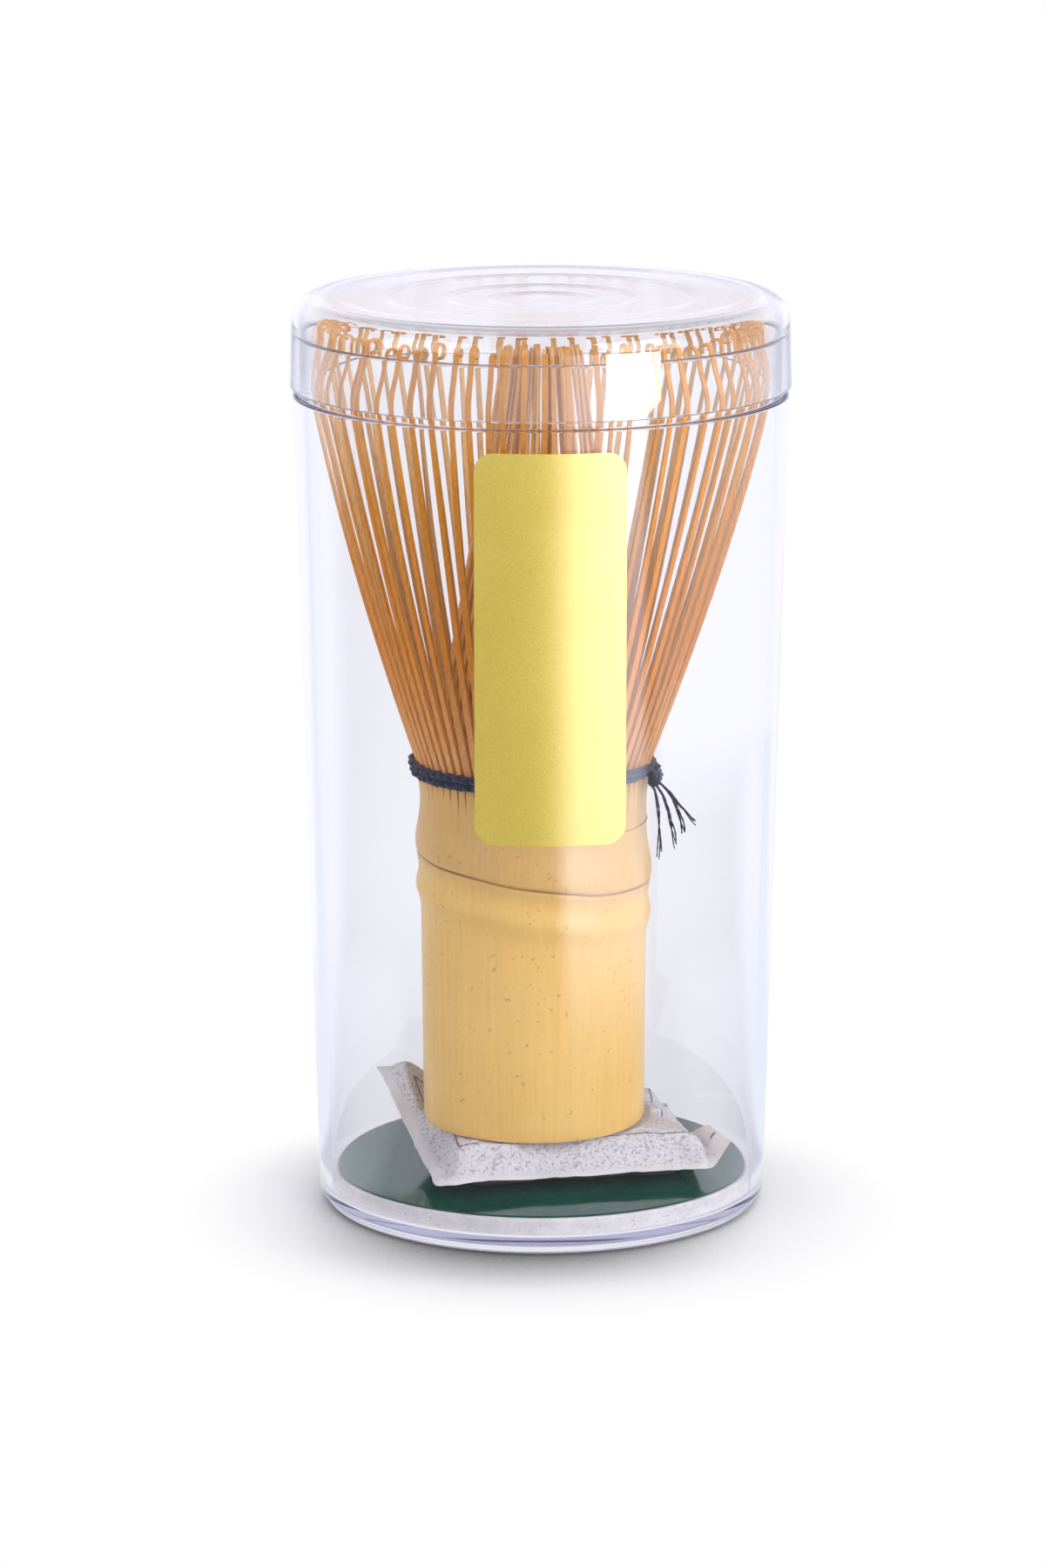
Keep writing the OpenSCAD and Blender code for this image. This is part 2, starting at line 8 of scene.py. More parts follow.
import bpy
import numpy as np
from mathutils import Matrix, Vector


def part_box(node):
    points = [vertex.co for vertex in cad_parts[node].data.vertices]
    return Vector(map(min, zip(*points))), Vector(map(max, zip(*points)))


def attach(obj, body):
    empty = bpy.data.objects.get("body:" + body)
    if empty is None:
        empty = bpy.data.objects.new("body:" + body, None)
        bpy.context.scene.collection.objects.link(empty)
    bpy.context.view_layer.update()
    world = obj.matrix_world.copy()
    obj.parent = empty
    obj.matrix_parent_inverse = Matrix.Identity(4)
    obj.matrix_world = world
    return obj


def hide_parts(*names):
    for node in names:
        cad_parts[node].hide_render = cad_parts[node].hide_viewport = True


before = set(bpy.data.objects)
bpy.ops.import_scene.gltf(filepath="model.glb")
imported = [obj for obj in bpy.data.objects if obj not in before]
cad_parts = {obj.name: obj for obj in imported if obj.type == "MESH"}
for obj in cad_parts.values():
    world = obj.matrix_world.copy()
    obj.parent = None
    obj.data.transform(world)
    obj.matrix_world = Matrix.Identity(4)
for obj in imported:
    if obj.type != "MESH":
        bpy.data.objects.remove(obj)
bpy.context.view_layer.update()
MM = 0.001

# %% [markdown]
# ## Camera
# The camera comes first, because every later choice is judged through it. It stands 0.74 m in front of the
# case, looks down by 12.8 degrees, and has a long lens, so the sides of the tube stay almost parallel. The
# small turn to the left puts the case a little right of the middle, with no lens shift.

# %% Camera
FRAME_HEIGHT_PX = 1800
FOCAL_PX = 6740
SENSOR = 36.0
LOOK_DOWN, ROLL, LOOK_LEFT = 12.8, 0.1, 0.165
camera_data = bpy.data.cameras.new("camera")
camera_data.sensor_fit = "VERTICAL"
camera_data.sensor_height = SENSOR
camera_data.lens = SENSOR * FOCAL_PX / FRAME_HEIGHT_PX
camera = bpy.data.objects.new("camera", camera_data)
camera.location = (0.0, -0.741, 0.2231)
camera.rotation_euler = np.radians((90 - LOOK_DOWN, ROLL, LOOK_LEFT))
bpy.context.scene.collection.objects.link(camera)
bpy.context.scene.camera = camera
bpy.context.scene.view_settings.view_transform = "Standard"
print("Lens, mm:", round(camera_data.lens, 1))

# %% [markdown]
# ## Grids, turned shapes and swept shapes
# Nearly every piece here is one of two kinds. A turned piece is a profile carried round an axis, as on a
# lathe or in a round mould. A swept piece is a section carried along a path, as a tine or a thread is. Both
# are grids of points, so one function numbers the faces of a grid and the others fill the grid in.

# %% Faces of a grid
def grid_quads(rows, columns, round_columns=True):
    """Each face joins a point, the next in its row, and the two above. A round grid joins its last column
    to its first."""
    row = np.arange(rows - 1)[:, None]
    column = np.arange(columns if round_columns else columns - 1)[None, :]
    after = (column + 1) % columns
    low, high = row * columns, (row + 1) * columns
    corners = np.broadcast_arrays(low + column, low + after, high + after, high + column)
    return np.stack(corners, -1).reshape(-1, 4)


def node_box(node):
    """The lowest and highest corner of a node of the frame, in millimetres."""
    return tuple(np.array(corner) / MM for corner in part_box(node))


def make_piece(name, points, faces, material, body, replaced, slot, sharp=40.0, values=None):
    """A mesh of points in millimetres, its faces smooth up to an angle, riding on a body in place of the
    nodes that it stands for. Values are named numbers, one for each point, that its finish reads."""
    mesh = bpy.data.meshes.new(name)
    mesh.from_pydata((np.asarray(points) * MM).tolist(), [], faces)
    mesh.shade_smooth()
    mesh.set_sharp_from_angle(angle=np.radians(sharp))
    for key, numbers in (values or {}).items():
        attribute = mesh.attributes.new(key, "FLOAT", "POINT")
        attribute.data.foreach_set("value", np.asarray(numbers, np.float32).ravel())
    mesh.materials.append(material)
    piece = bpy.data.objects.new(name, mesh)
    bpy.context.scene.collection.objects.link(piece)
    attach(piece, body)
    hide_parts(*replaced)
    print(name, "has", len(mesh.polygons), "faces")
    return piece


print("A round grid of 3 rows of 4 points has", len(grid_quads(3, 4)), "faces")

# %% Turned shapes
AROUND = 192


def turned(radius, height):
    """A closed turned shape. Row i is a loop at radius[i] and height[i]; the first and last rows lie on the
    axis and become single points. A profile that runs out under the piece, up its outside and back in over
    its top has its faces outwards."""
    rows = len(radius) - 2
    angle = np.arange(AROUND) * 2 * np.pi / AROUND
    radius, height = (np.broadcast_to(a if a.ndim == 2 else a[:, None], (rows + 2, AROUND))
                      for a in (radius, height))
    loops = np.stack([radius * np.cos(angle), radius * np.sin(angle), height], -1)
    poles = [[0, 0, height[0].mean()], [0, 0, height[-1].mean()]]
    points = np.concatenate([loops[1:-1].reshape(-1, 3), poles])
    step = np.arange(AROUND)
    after = (step + 1) % AROUND
    first, last = rows * AROUND, (rows - 1) * AROUND
    low_fan = np.stack([np.full(AROUND, first), after, step], -1)
    top_fan = np.stack([np.full(AROUND, first + 1), last + step, last + after], -1)
    return points, [*grid_quads(rows, AROUND).tolist(), *low_fan.tolist(), *top_fan.tolist()]


def rounded(corners, radii, steps=7, lead=0.05):
    """A profile with its inner corners rounded. Each corner gives way to an arc that touches both of its
    edges, with one point more on each edge, a lead away, so that the flat beyond it is shaded flat."""
    corners = np.array(corners, float)
    radii = np.array(radii, float)[:, None]
    here = corners[1:-1]
    back, on = corners[:-2] - here, corners[2:] - here
    back /= np.linalg.norm(back, axis=1, keepdims=True)
    on /= np.linalg.norm(on, axis=1, keepdims=True)
    half = np.arccos((back * on).sum(1, keepdims=True)) / 2
    reach = radii / np.tan(half)
    middle = (back + on) / np.linalg.norm(back + on, axis=1, keepdims=True)
    centre = here + middle * radii / np.sin(half)
    turn = np.pi - 2 * half
    share = np.linspace(0, 1, steps)
    from_start = (np.sin((1 - share) * turn) / np.sin(turn))[:, :, None]
    from_end = (np.sin(share * turn) / np.sin(turn))[:, :, None]
    arcs = (centre[:, None] + from_start * (here + back * reach - centre)[:, None]
            + from_end * (here + on * reach - centre)[:, None])
    before = (here + back * (reach + lead))[:, None]
    beyond = (here + on * (reach + lead))[:, None]
    inner = np.concatenate([before, arcs, beyond], 1).reshape(-1, 2)
    return np.concatenate([corners[:1], inner, corners[-1:]])


print("Turned shapes have", AROUND, "points round")

# %% Swept shapes
def swept(paths, across, out, section):
    """Solids swept along paths. Paths holds a row of points for each solid, across and out hold two unit
    directions at each point, and section the places of its corners along those two directions."""
    count, rows, corners = section.shape[:3]
    points = (paths[:, :, None] + across[:, :, None] * section[..., :1]
              + out[:, :, None] * section[..., 1:])
    size = rows * corners
    first = np.arange(count) * size
    quads = (grid_quads(rows, corners)[None] + first[:, None, None]).reshape(-1, 4)
    ring = np.arange(corners)
    start = first[:, None] + ring[::-1]
    end = first[:, None] + size - corners + ring
    return points.reshape(-1, 3), [*quads.tolist(), *start.tolist(), *end.tolist()]


def smooth_step(value, low, high):
    """Nothing below low, one above high, and a smooth rise between: 3t squared less 2t cubed."""
    t = np.clip((value - low) / (high - low), 0, 1)
    return t * t * (3 - 2 * t)


def cubic(corners, share):
    """Points of a cubic curve by its four corners: each corner weighs as the curve passes it."""
    t = np.asarray(share)[..., None]
    a, b, c, d = (np.asarray(corner, float) for corner in corners)
    return a * (1 - t) ** 3 + 3 * b * t * (1 - t) ** 2 + 3 * c * t * t * (1 - t) + d * t ** 3


print("A quarter of the way, a smooth step has risen by", smooth_step(0.25, 0, 1))

# %% [markdown]
# ## Colours and nodes
# A colour is written as the eye would pick it, as sRGB hex, and one function turns it to the linear numbers
# that shaders work in. Another adds a node, sets its sockets and links it. Pattern scales come from real
# sizes: a noise of scale s repeats about s times a metre, so a pattern d millimetres wide needs 1000 / d.
# Where one colour lies over another by a share, the layers are written as a list and laid on in a loop.

# %% Colour and node helpers
def linear(code):
    """The linear colour of an sRGB hex code: a straight part near black, and a power of 2.4 above it."""
    srgb = np.array([int(code[i:i + 2], 16) for i in (1, 3, 5)]) / 255
    light = np.where(srgb <= 0.04045, srgb / 12.92, ((srgb + 0.055) / 1.055) ** 2.4)
    return (*light.tolist(), 1.0)


def wire(tree, node, sockets):
    """Set a node's inputs, each to a plain value or by a link from a socket. A node stands for the first of
    its outputs that is in use."""
    for key, value in dict(sockets).items():
        if isinstance(value, bpy.types.Node):
            value = next(socket for socket in value.outputs if socket.enabled)
        if isinstance(value, bpy.types.NodeSocket):
            tree.links.new(value, node.inputs[key])
        else:
            node.inputs[key].default_value = value


def add_node(tree, kind, sockets=(), **settings):
    """A shader node of one kind, with its settings and its inputs."""
    node = tree.nodes.new("ShaderNode" + kind)
    for name, value in settings.items():
        setattr(node, name, value)
    wire(tree, node, sockets)
    return node


def new_finish(name, sockets):
    """A material with one Principled shader, whose inputs are set, and its node tree."""
    material = bpy.data.materials.new(name)
    material.use_nodes = True
    tree = material.node_tree
    shader = tree.nodes["Principled BSDF"]
    wire(tree, shader, sockets)
    return material, tree, shader


def per_mm(size):
    """Repeats to a metre of a pattern that is so many millimetres wide."""
    return 1 / (size * MM)


print("Middle grey is", round(linear("#808080")[0], 3), "in linear light")

# %% [markdown]
# ## Clear polystyrene
# The tube and the lid are injection moulded in clear polystyrene, with polished walls of about a millimetre.
# It bends light strongly, at an index of 1.59, so rims and rounded corners gather dark and bright lines. The
# faint lavender comes from the blue toner in such plastic: an absorption inside the wall, which hardly shows
# through a wall and deepens along an edge. The lid is thinner than the tube, so its toner is set stronger.
# Each moulding has one finish all over, because light that entered by one material and left by another would
# carry the toner along with it. The underside of the lid's top is a little matt, as the core of a mould
# often is, and a number on each point, called core, says where. Rays from lamps pass straight through, which
# keeps what is inside as bright as it is behind real thin plastic. Light inside a thin plate meets its faces
# many times before it leaves, so the paths are let run longer than usual.

# %% Clear polystyrene
LONGEST_PATH = 64


def clear_polystyrene(name, toner_density):
    """Glass-like plastic with a volume that takes a little red and green, a little matt where core is one."""
    material, tree, shader = new_finish(name, {
        "Base Color": linear("#FFFFFF"), "IOR": 1.59, "Transmission Weight": 1.0})
    core = add_node(tree, "Attribute", attribute_name="core").outputs["Fac"]
    rough = add_node(tree, "MapRange", {"Value": core, "To Min": 0.015, "To Max": 0.2})
    passing = add_node(tree, "BsdfTransparent", {"Color": linear("#F9F9FC")})
    path = add_node(tree, "LightPath")
    either = add_node(tree, "MixShader", {0: path.outputs["Is Shadow Ray"], 1: shader, 2: passing})
    toner = add_node(tree, "VolumeAbsorption", {"Color": linear("#E6E6F1"), "Density": toner_density})
    wire(tree, shader, {"Roughness": rough})
    wire(tree, tree.nodes["Material Output"], {"Surface": either, "Volume": toner})
    return material


clear = clear_polystyrene("clear_polystyrene", 60.0)
clear_lid = clear_polystyrene("clear_lid_polystyrene", 130.0)
light_paths = bpy.context.scene.cycles
light_paths.max_bounces = LONGEST_PATH
light_paths.transmission_bounces = LONGEST_PATH
light_paths.glossy_bounces = LONGEST_PATH
print("Made", clear.name, "and", clear_lid.name)

# %% [markdown]
# ## Case tube
# The tube leaves its mould with a slight draft: it is wider at the shoulder than at the foot. A neck steps in
# above the shoulder for the lid. The profile runs from the middle of the underside, over the foot ring, up
# the outside, over the rim and down the inside. Its outer sizes come from the frame.

# %% Case tube
NECK_H = 7.95
NECK_STEP = 0.7
NECK_WALL = 0.85
TUBE_DRAFT = 2.6
TUBE_WALL = 1.5
FLOOR_T = 1.2
FOOT_RING_W = 3.8
FOOT_STEP_W = 0.7
FOOT_STEP_H = 1.1
FOOT_STEP_RISE = 0.1
TUBE_ROUNDS = [0.35, 0.3, 0.7, 0.12, 0.5, 0.22, 0.18, 0.3, 0.3, 0.9]
shoulder_r, _, rim_z = node_box("case_tube")[1]
floor_top = node_box("base_board")[0][2]
shoulder_z = rim_z - NECK_H
neck_r = shoulder_r - NECK_STEP
neck_in_r = neck_r - NECK_WALL
floor_r = shoulder_r - TUBE_DRAFT
floor_in_r = floor_r - TUBE_WALL
foot_ring_h = floor_top - FLOOR_T
foot_in_r = floor_r - FOOT_RING_W
foot_r = floor_r - FOOT_STEP_W
tube_profile = rounded(
    [(0, foot_ring_h), (foot_in_r, foot_ring_h), (foot_in_r, 0), (foot_r, 0), (foot_r, FOOT_STEP_H),
     (floor_r, FOOT_STEP_H + FOOT_STEP_RISE), (shoulder_r, shoulder_z), (neck_r, shoulder_z), (neck_r, rim_z),
     (neck_in_r, rim_z), (floor_in_r, floor_top), (0, floor_top)], TUBE_ROUNDS)
make_piece("clear_tube", *turned(*tube_profile.T), clear, "case", ["case_tube"], "clear_polystyrene",
           sharp=80)

# %% [markdown]
# ## Lid
# The lid is one moulding too: a skirt that slips over the neck, a ledge that stops on the rim, a large round
# along its top edge, and four ringed steps that stiffen the top. The underside follows the outside, so the
# wall stays even; it is kept thin, because a thick plate gathers dark bands along its rings. The steps are
# two short lists of corners, for outside and underside, made by one function. The rows of the underside up
# to its last step are the core of the mould.

# %% Lid
LID_DRAFT = 0.35
LID_FIT = 0.1
LID_WALL = 0.75
LID_TOP_T = 0.8
LEDGE_GAP = 0.1
RING_INSETS = np.array([24.5, 18.9, 11.0, 4.9])
RING_DROP = 0.22
RING_SLOPE = 1.8
RING_ROUND = 5.0
SKIRT_ROUNDS = [2.45, 0.1, 0.1, 0.1, 0.1, 3.2]
ROWS_AT_CORNER = 9
(_, _, lid_low), (lid_r, _, lid_z) = node_box("lid")
lid_top_r = lid_r - LID_DRAFT
lid_in_r = neck_r + LID_FIT
corner_in_r = lid_top_r - LID_WALL
ledge_z = rim_z + LEDGE_GAP
lid_under = lid_z - LID_TOP_T
ring_r = lid_top_r - RING_INSETS
middle_drop = len(ring_r) * RING_DROP


def ring_steps(top):
    """Corners of the ringed steps from the middle outwards: each rises by one drop over one slope."""
    drop = RING_DROP * np.arange(len(ring_r), 0, -1)
    low = np.stack([ring_r - RING_SLOPE, top - drop], -1)
    high = np.stack([ring_r, top - drop + RING_DROP], -1)
    return np.stack([low, high], 1).reshape(-1, 2).tolist()


outside = [(lid_r, lid_low), (lid_top_r, lid_z), *ring_steps(lid_z)[::-1]]
inside = [*ring_steps(lid_under), (corner_in_r, lid_under), (corner_in_r, ledge_z), (lid_in_r, ledge_z),
          (lid_in_r, lid_low)]
ring_rounds = [RING_ROUND] * (2 * len(ring_r))
lid_profile = rounded([(0, lid_under - middle_drop), *inside, *outside, (0, lid_z - middle_drop)],
                      [*ring_rounds, *SKIRT_ROUNDS, *ring_rounds])
core_rows = np.arange(len(lid_profile) - 2) < ROWS_AT_CORNER * len(ring_rounds)
lid_core = np.append(np.repeat(core_rows, AROUND), [True, False])
make_piece("clear_lid", *turned(*lid_profile.T), clear_lid, "lid", ["lid"], "clear_polystyrene", sharp=80,
           values={"core": lid_core})

# %% [markdown]
# ## Base board and printed card
# A disc of greyish white paperboard lies in the bottom of the case, with a thin card on it, printed deep
# green and varnished. Both are plain discs with softly crushed edges. The board's finish shows its pulp:
# faint clouds, and specks about half a millimetre wide. The card's varnish is smooth, so it mirrors a little.

# %% Paperboard and green varnished print
BOARD_EDGE = 0.3
CARD_EDGE = 0.06
HAIR = 0.04


def paperboard():
    """White board: two noises of pulp, the finer one also as dark specks and a slight bump."""
    material, tree, shader = new_finish("grey_white_paperboard", {"Roughness": 0.85})
    place = add_node(tree, "TexCoord").outputs["Object"]
    pulp = add_node(tree, "TexNoise", {"Vector": place, "Scale": per_mm(1.4), "Detail": 4.0})
    specks = add_node(tree, "TexNoise", {"Vector": place, "Scale": per_mm(0.4), "Detail": 2.0})
    speck = add_node(tree, "MapRange", {"Value": specks, "From Min": 0.62, "From Max": 0.75})
    base = add_node(tree, "Mix", {0: pulp, 6: linear("#C2BEC1"), 7: linear("#E0DDE0")}, data_type="RGBA")
    mixed = add_node(tree, "Mix", {0: speck, 6: base, 7: linear("#A39A9A")}, data_type="RGBA")
    bump = add_node(tree, "Bump", {"Height": specks, "Strength": 0.25, "Distance": 0.0001})
    wire(tree, shader, {"Base Color": mixed, "Normal": bump})
    return material


def green_print():
    """Deep green ink under varnish, a little uneven, with pale dust on it."""
    material, tree, shader = new_finish("green_varnished_print", {
        "Roughness": 0.1, "IOR": 1.42, "Specular Tint": linear("#BEDEFF")})
    place = add_node(tree, "TexCoord").outputs["Object"]
    ink = add_node(tree, "TexNoise", {"Vector": place, "Scale": per_mm(6), "Detail": 3.0})
    dust = add_node(tree, "TexNoise", {"Vector": place, "Scale": per_mm(0.45), "Detail": 1.0})
    grain = add_node(tree, "MapRange", {"Value": dust, "From Min": 0.72, "From Max": 0.8, "To Max": 0.5})
    base = add_node(tree, "Mix", {0: ink, 6: linear("#023024"), 7: linear("#084A3A")}, data_type="RGBA")
    mixed = add_node(tree, "Mix", {0: grain, 6: base, 7: linear("#7FA79B")}, data_type="RGBA")
    wire(tree, shader, {"Base Color": mixed})
    return material


def disc(node, edge):
    """A disc that fills a node's box, with its two edges rounded. It lies a hair above what carries it, so
    that plastic under it keeps its own clear face."""
    low, high = node_box(node)
    low[2] += HAIR
    outline = [(0, low[2]), (high[0], low[2]), (high[0], high[2]), (0, high[2])]
    return turned(*rounded(outline, [edge, edge], steps=4, lead=0.02).T)


board, print_ink = paperboard(), green_print()
make_piece("paper_board", *disc("base_board", BOARD_EDGE), board, "case", ["base_board"], "white_board")
make_piece("green_card", *disc("base_card", CARD_EDGE), print_ink, "case", ["base_card"], "green_print")

# %% [markdown]
# ## Gold label
# The label is metallised paper, stuck round the front of the tube, with round corners and a plain face. Each
# row of the grid is one height, and its half width follows the corner's circle near the two ends. The foil
# isn't a mirror: fine paper grain under it spreads the highlight, so it is a rough metal with a soft grain
# under a glossy coat.

# %% Satin gold foil
def satin_gold_foil():
    """Metal with a gold tint; paper grain of about a third of a millimetre drives roughness and bump."""
    material, tree, shader = new_finish("satin_gold_foil_paper", {
        "Metallic": 0.5, "Coat Weight": 1.0, "Coat Roughness": 0.25, "Coat IOR": 2.1})
    place = add_node(tree, "TexCoord").outputs["Object"]
    grain = add_node(tree, "TexNoise", {"Vector": place, "Scale": per_mm(0.3), "Detail": 3.0})
    cloud = add_node(tree, "TexNoise", {"Vector": place, "Scale": per_mm(9), "Detail": 2.0})
    tinted = add_node(tree, "Mix", {0: cloud, 6: linear("#E0C240"), 7: linear("#EAD25C")}, data_type="RGBA")
    fleck = add_node(tree, "MapRange", {
        "Value": grain, "From Min": 0.3, "From Max": 0.7, "To Min": 0.92, "To Max": 1.04})
    gold = add_node(tree, "Mix", {0: 1.0, 6: tinted, 7: fleck}, data_type="RGBA", blend_type="MULTIPLY")
    rough = add_node(tree, "MapRange", {"Value": grain, "To Min": 0.3, "To Max": 0.42})
    bump = add_node(tree, "Bump", {"Height": grain, "Strength": 0.3, "Distance": 0.00006})
    wire(tree, shader, {"Base Color": gold, "Roughness": rough, "Normal": bump})
    return material


gold_foil = satin_gold_foil()
print("Made", gold_foil.name)

# %% Gold label
LABEL_ROUND = 2.4
LABEL_THICK = 0.12
LABEL_GAP = 0.02
LABEL_TURN = np.radians(2.2)
label_low, label_high = node_box("front_label")
label_w = (label_high[0] - label_low[0]) / np.cos(LABEL_TURN)


def label_sheet(columns=24, corner_rows=9, side_rows=12):
    """Rows of a round-cornered sheet, laid on the tube. A point goes round the tube by its distance from the
    middle over the radius there; the sheet has a front, a back and closed edges."""
    turn = np.linspace(0, np.pi / 2, corner_rows)
    inset = LABEL_ROUND * (1 - np.sin(turn))
    dip = LABEL_ROUND * (1 - np.cos(turn))
    side = np.linspace(label_low[2] + LABEL_ROUND, label_high[2] - LABEL_ROUND, side_rows)
    z = np.concatenate([label_low[2] + dip, side[1:-1], label_high[2] - dip[::-1]])
    half = label_w / 2 - np.concatenate([inset, np.zeros(side_rows - 2), inset[::-1]])
    spot = np.linspace(-1, 1, columns)
    spot = np.concatenate([spot, spot[::-1]])
    sheet_r = np.repeat([LABEL_THICK, 0.0], columns)
    radius = (floor_r + LABEL_GAP + TUBE_DRAFT * z / shoulder_z)[:, None] + sheet_r
    angle = np.arcsin(spot * half[:, None] / radius) + LABEL_TURN - np.pi / 2
    points = np.stack(np.broadcast_arrays(radius * np.cos(angle), radius * np.sin(angle), z[:, None]), -1)
    ring = np.arange(columns - 1)
    end = np.stack([ring, 2 * columns - 1 - ring, 2 * columns - 2 - ring, ring + 1], -1)
    last = (len(z) - 1) * 2 * columns
    faces = [*grid_quads(len(z), 2 * columns).tolist(), *end.tolist(), *(end[:, ::-1] + last).tolist()]
    return points.reshape(-1, 3), faces


make_piece("gold_label", *label_sheet(), gold_foil, "case", ["front_label"], "gold_foil", sharp=60)

# %% [markdown]
# ## Bamboo
# The whole whisk is one piece of culm. Its skin is smooth and waxy, golden below the node and browner above
# it, with hair-fine streaks along the grain and a scatter of small dark specks. Where the culm is split, the
# tines show paler wood low down and a caramel colour further up, where they were soaked and bent. One
# function gives the skin's colour, and handle and tines share it, so that the colour runs on where they meet.

# %% Culm skin
def grain_at(tree, place, width):
    """A noise stretched along Z, which gives streaks of a width in millimetres along the grain."""
    along = add_node(tree, "Mapping", {"Vector": place, "Scale": (1.0, 1.0, 0.03)})
    return add_node(tree, "TexNoise", {"Vector": along, "Scale": per_mm(width), "Detail": 3.0})


def culm_colour(tree, place, golden):
    """Skin colour: gold where golden is one and tan where it is nothing, streaked and clouded."""
    cloud = add_node(tree, "TexNoise", {"Vector": place, "Scale": per_mm(14), "Detail": 2.0})
    tan, gold = (add_node(tree, "Mix", {
        0: cloud, 6: linear(deep), 7: linear(pale)}, data_type="RGBA")
        for deep, pale in (("#CEA15A", "#DCB46E"), ("#E0B058", "#EAC476")))
    skin = add_node(tree, "Mix", {0: golden, 6: tan, 7: gold}, data_type="RGBA")
    streak = add_node(tree, "MapRange", {
        "Value": grain_at(tree, place, 0.5), "From Min": 0.3, "From Max": 0.7,
        "To Min": 0.94, "To Max": 1.03})
    return add_node(tree, "Mix", {0: 1.0, 6: skin, 7: streak}, data_type="RGBA", blend_type="MULTIPLY")


def waxy_culm():
    """Culm skin with a stained scar along the node, a scatter of specks, and a waxy gloss."""
    material, tree, shader = new_finish("waxy_bamboo_culm", {"IOR": 1.48})
    place = add_node(tree, "TexCoord").outputs["Object"]
    golden, scar, cut = (add_node(tree, "Attribute", attribute_name=key).outputs["Fac"]
                         for key in ("golden", "scar", "cut"))
    dots = add_node(tree, "TexNoise", {"Vector": place, "Scale": per_mm(0.7), "Detail": 1.0})
    speck = add_node(tree, "MapRange", {"Value": dots, "From Min": 0.68, "From Max": 0.76, "To Max": 0.45})
    colour = culm_colour(tree, place, golden)
    for share, stain in ((cut, "#D9B27A"), (speck, "#8A5A2E"), (scar, "#6A3018")):
        colour = add_node(tree, "Mix", {0: share, 6: colour, 7: linear(stain)}, data_type="RGBA")
    rough = add_node(tree, "MapRange", {
        "Value": grain_at(tree, place, 0.8), "To Min": 0.26, "To Max": 0.42})
    bump = add_node(tree, "Bump", {
        "Height": grain_at(tree, place, 0.35), "Strength": 0.12, "Distance": 0.0001})
    wire(tree, shader, {"Base Color": colour, "Roughness": rough, "Normal": bump})
    return material


culm_skin = waxy_culm()
print("Made", culm_skin.name)

# %% [markdown]
# ## Handle
# The handle is the length of culm round one node. Its outside is a turned shape, but the node isn't level: it
# climbs to the left, so each row of the grid is lifted with it. Rows crowd together at the node line, where
# the skin has a fine stained groove between two low ridges. Under the node the culm is a tube, closed by the
# septum at the node, and above it a cup that the tines go on from.

# %% Handle
HANDLE_R = 14.4
NODE_H = 33.6
BORE_R = 9.6
SPLIT_WALL = 2.8
SEPTUM_HALF = 1.6
FILLET = 0.6
BORE_CHAMFER = 0.3
FOOT_ROUND, FOOT_NICK = 0.5, 0.12
SKIN_ROWS = 81
CROWDING = 2.4
SWELL = 0.25
NODE_BELLS = ((0.65, 1.2, 3.0), (0.6, -4.6, 1.6), (-0.22, 0.0, 0.25))
OUT_OF_ROUND = 0.06
handle_low, handle_high = node_box("whisk_handle")
handle_x = (handle_low[0] + handle_high[0]) / 2
foot_z = handle_low[2]
HANDLE_H = handle_high[2] - foot_z


def culm_r(from_node, share):
    """Radius of the culm: a slow swell up to the node, and three bell curves of the height from the node
    line, each with a size, a place and a width: a ridge above the line, a lesser one below it, and a groove
    along it."""
    bells = sum(size * np.exp(-((from_node - place) / width) ** 2) for size, place, width in NODE_BELLS)
    return HANDLE_R + SWELL * np.minimum(1, share) + bells


def node_height(angle):
    """Height of the node line round the culm: a tilted ring, a little wavy."""
    rise = 0.6 - 2.0 * np.cos(angle) + 0.6 * np.sin(angle)
    return NODE_H + rise + 0.12 * np.sin(3 * angle + 1) + 0.06 * np.sin(8 * angle)


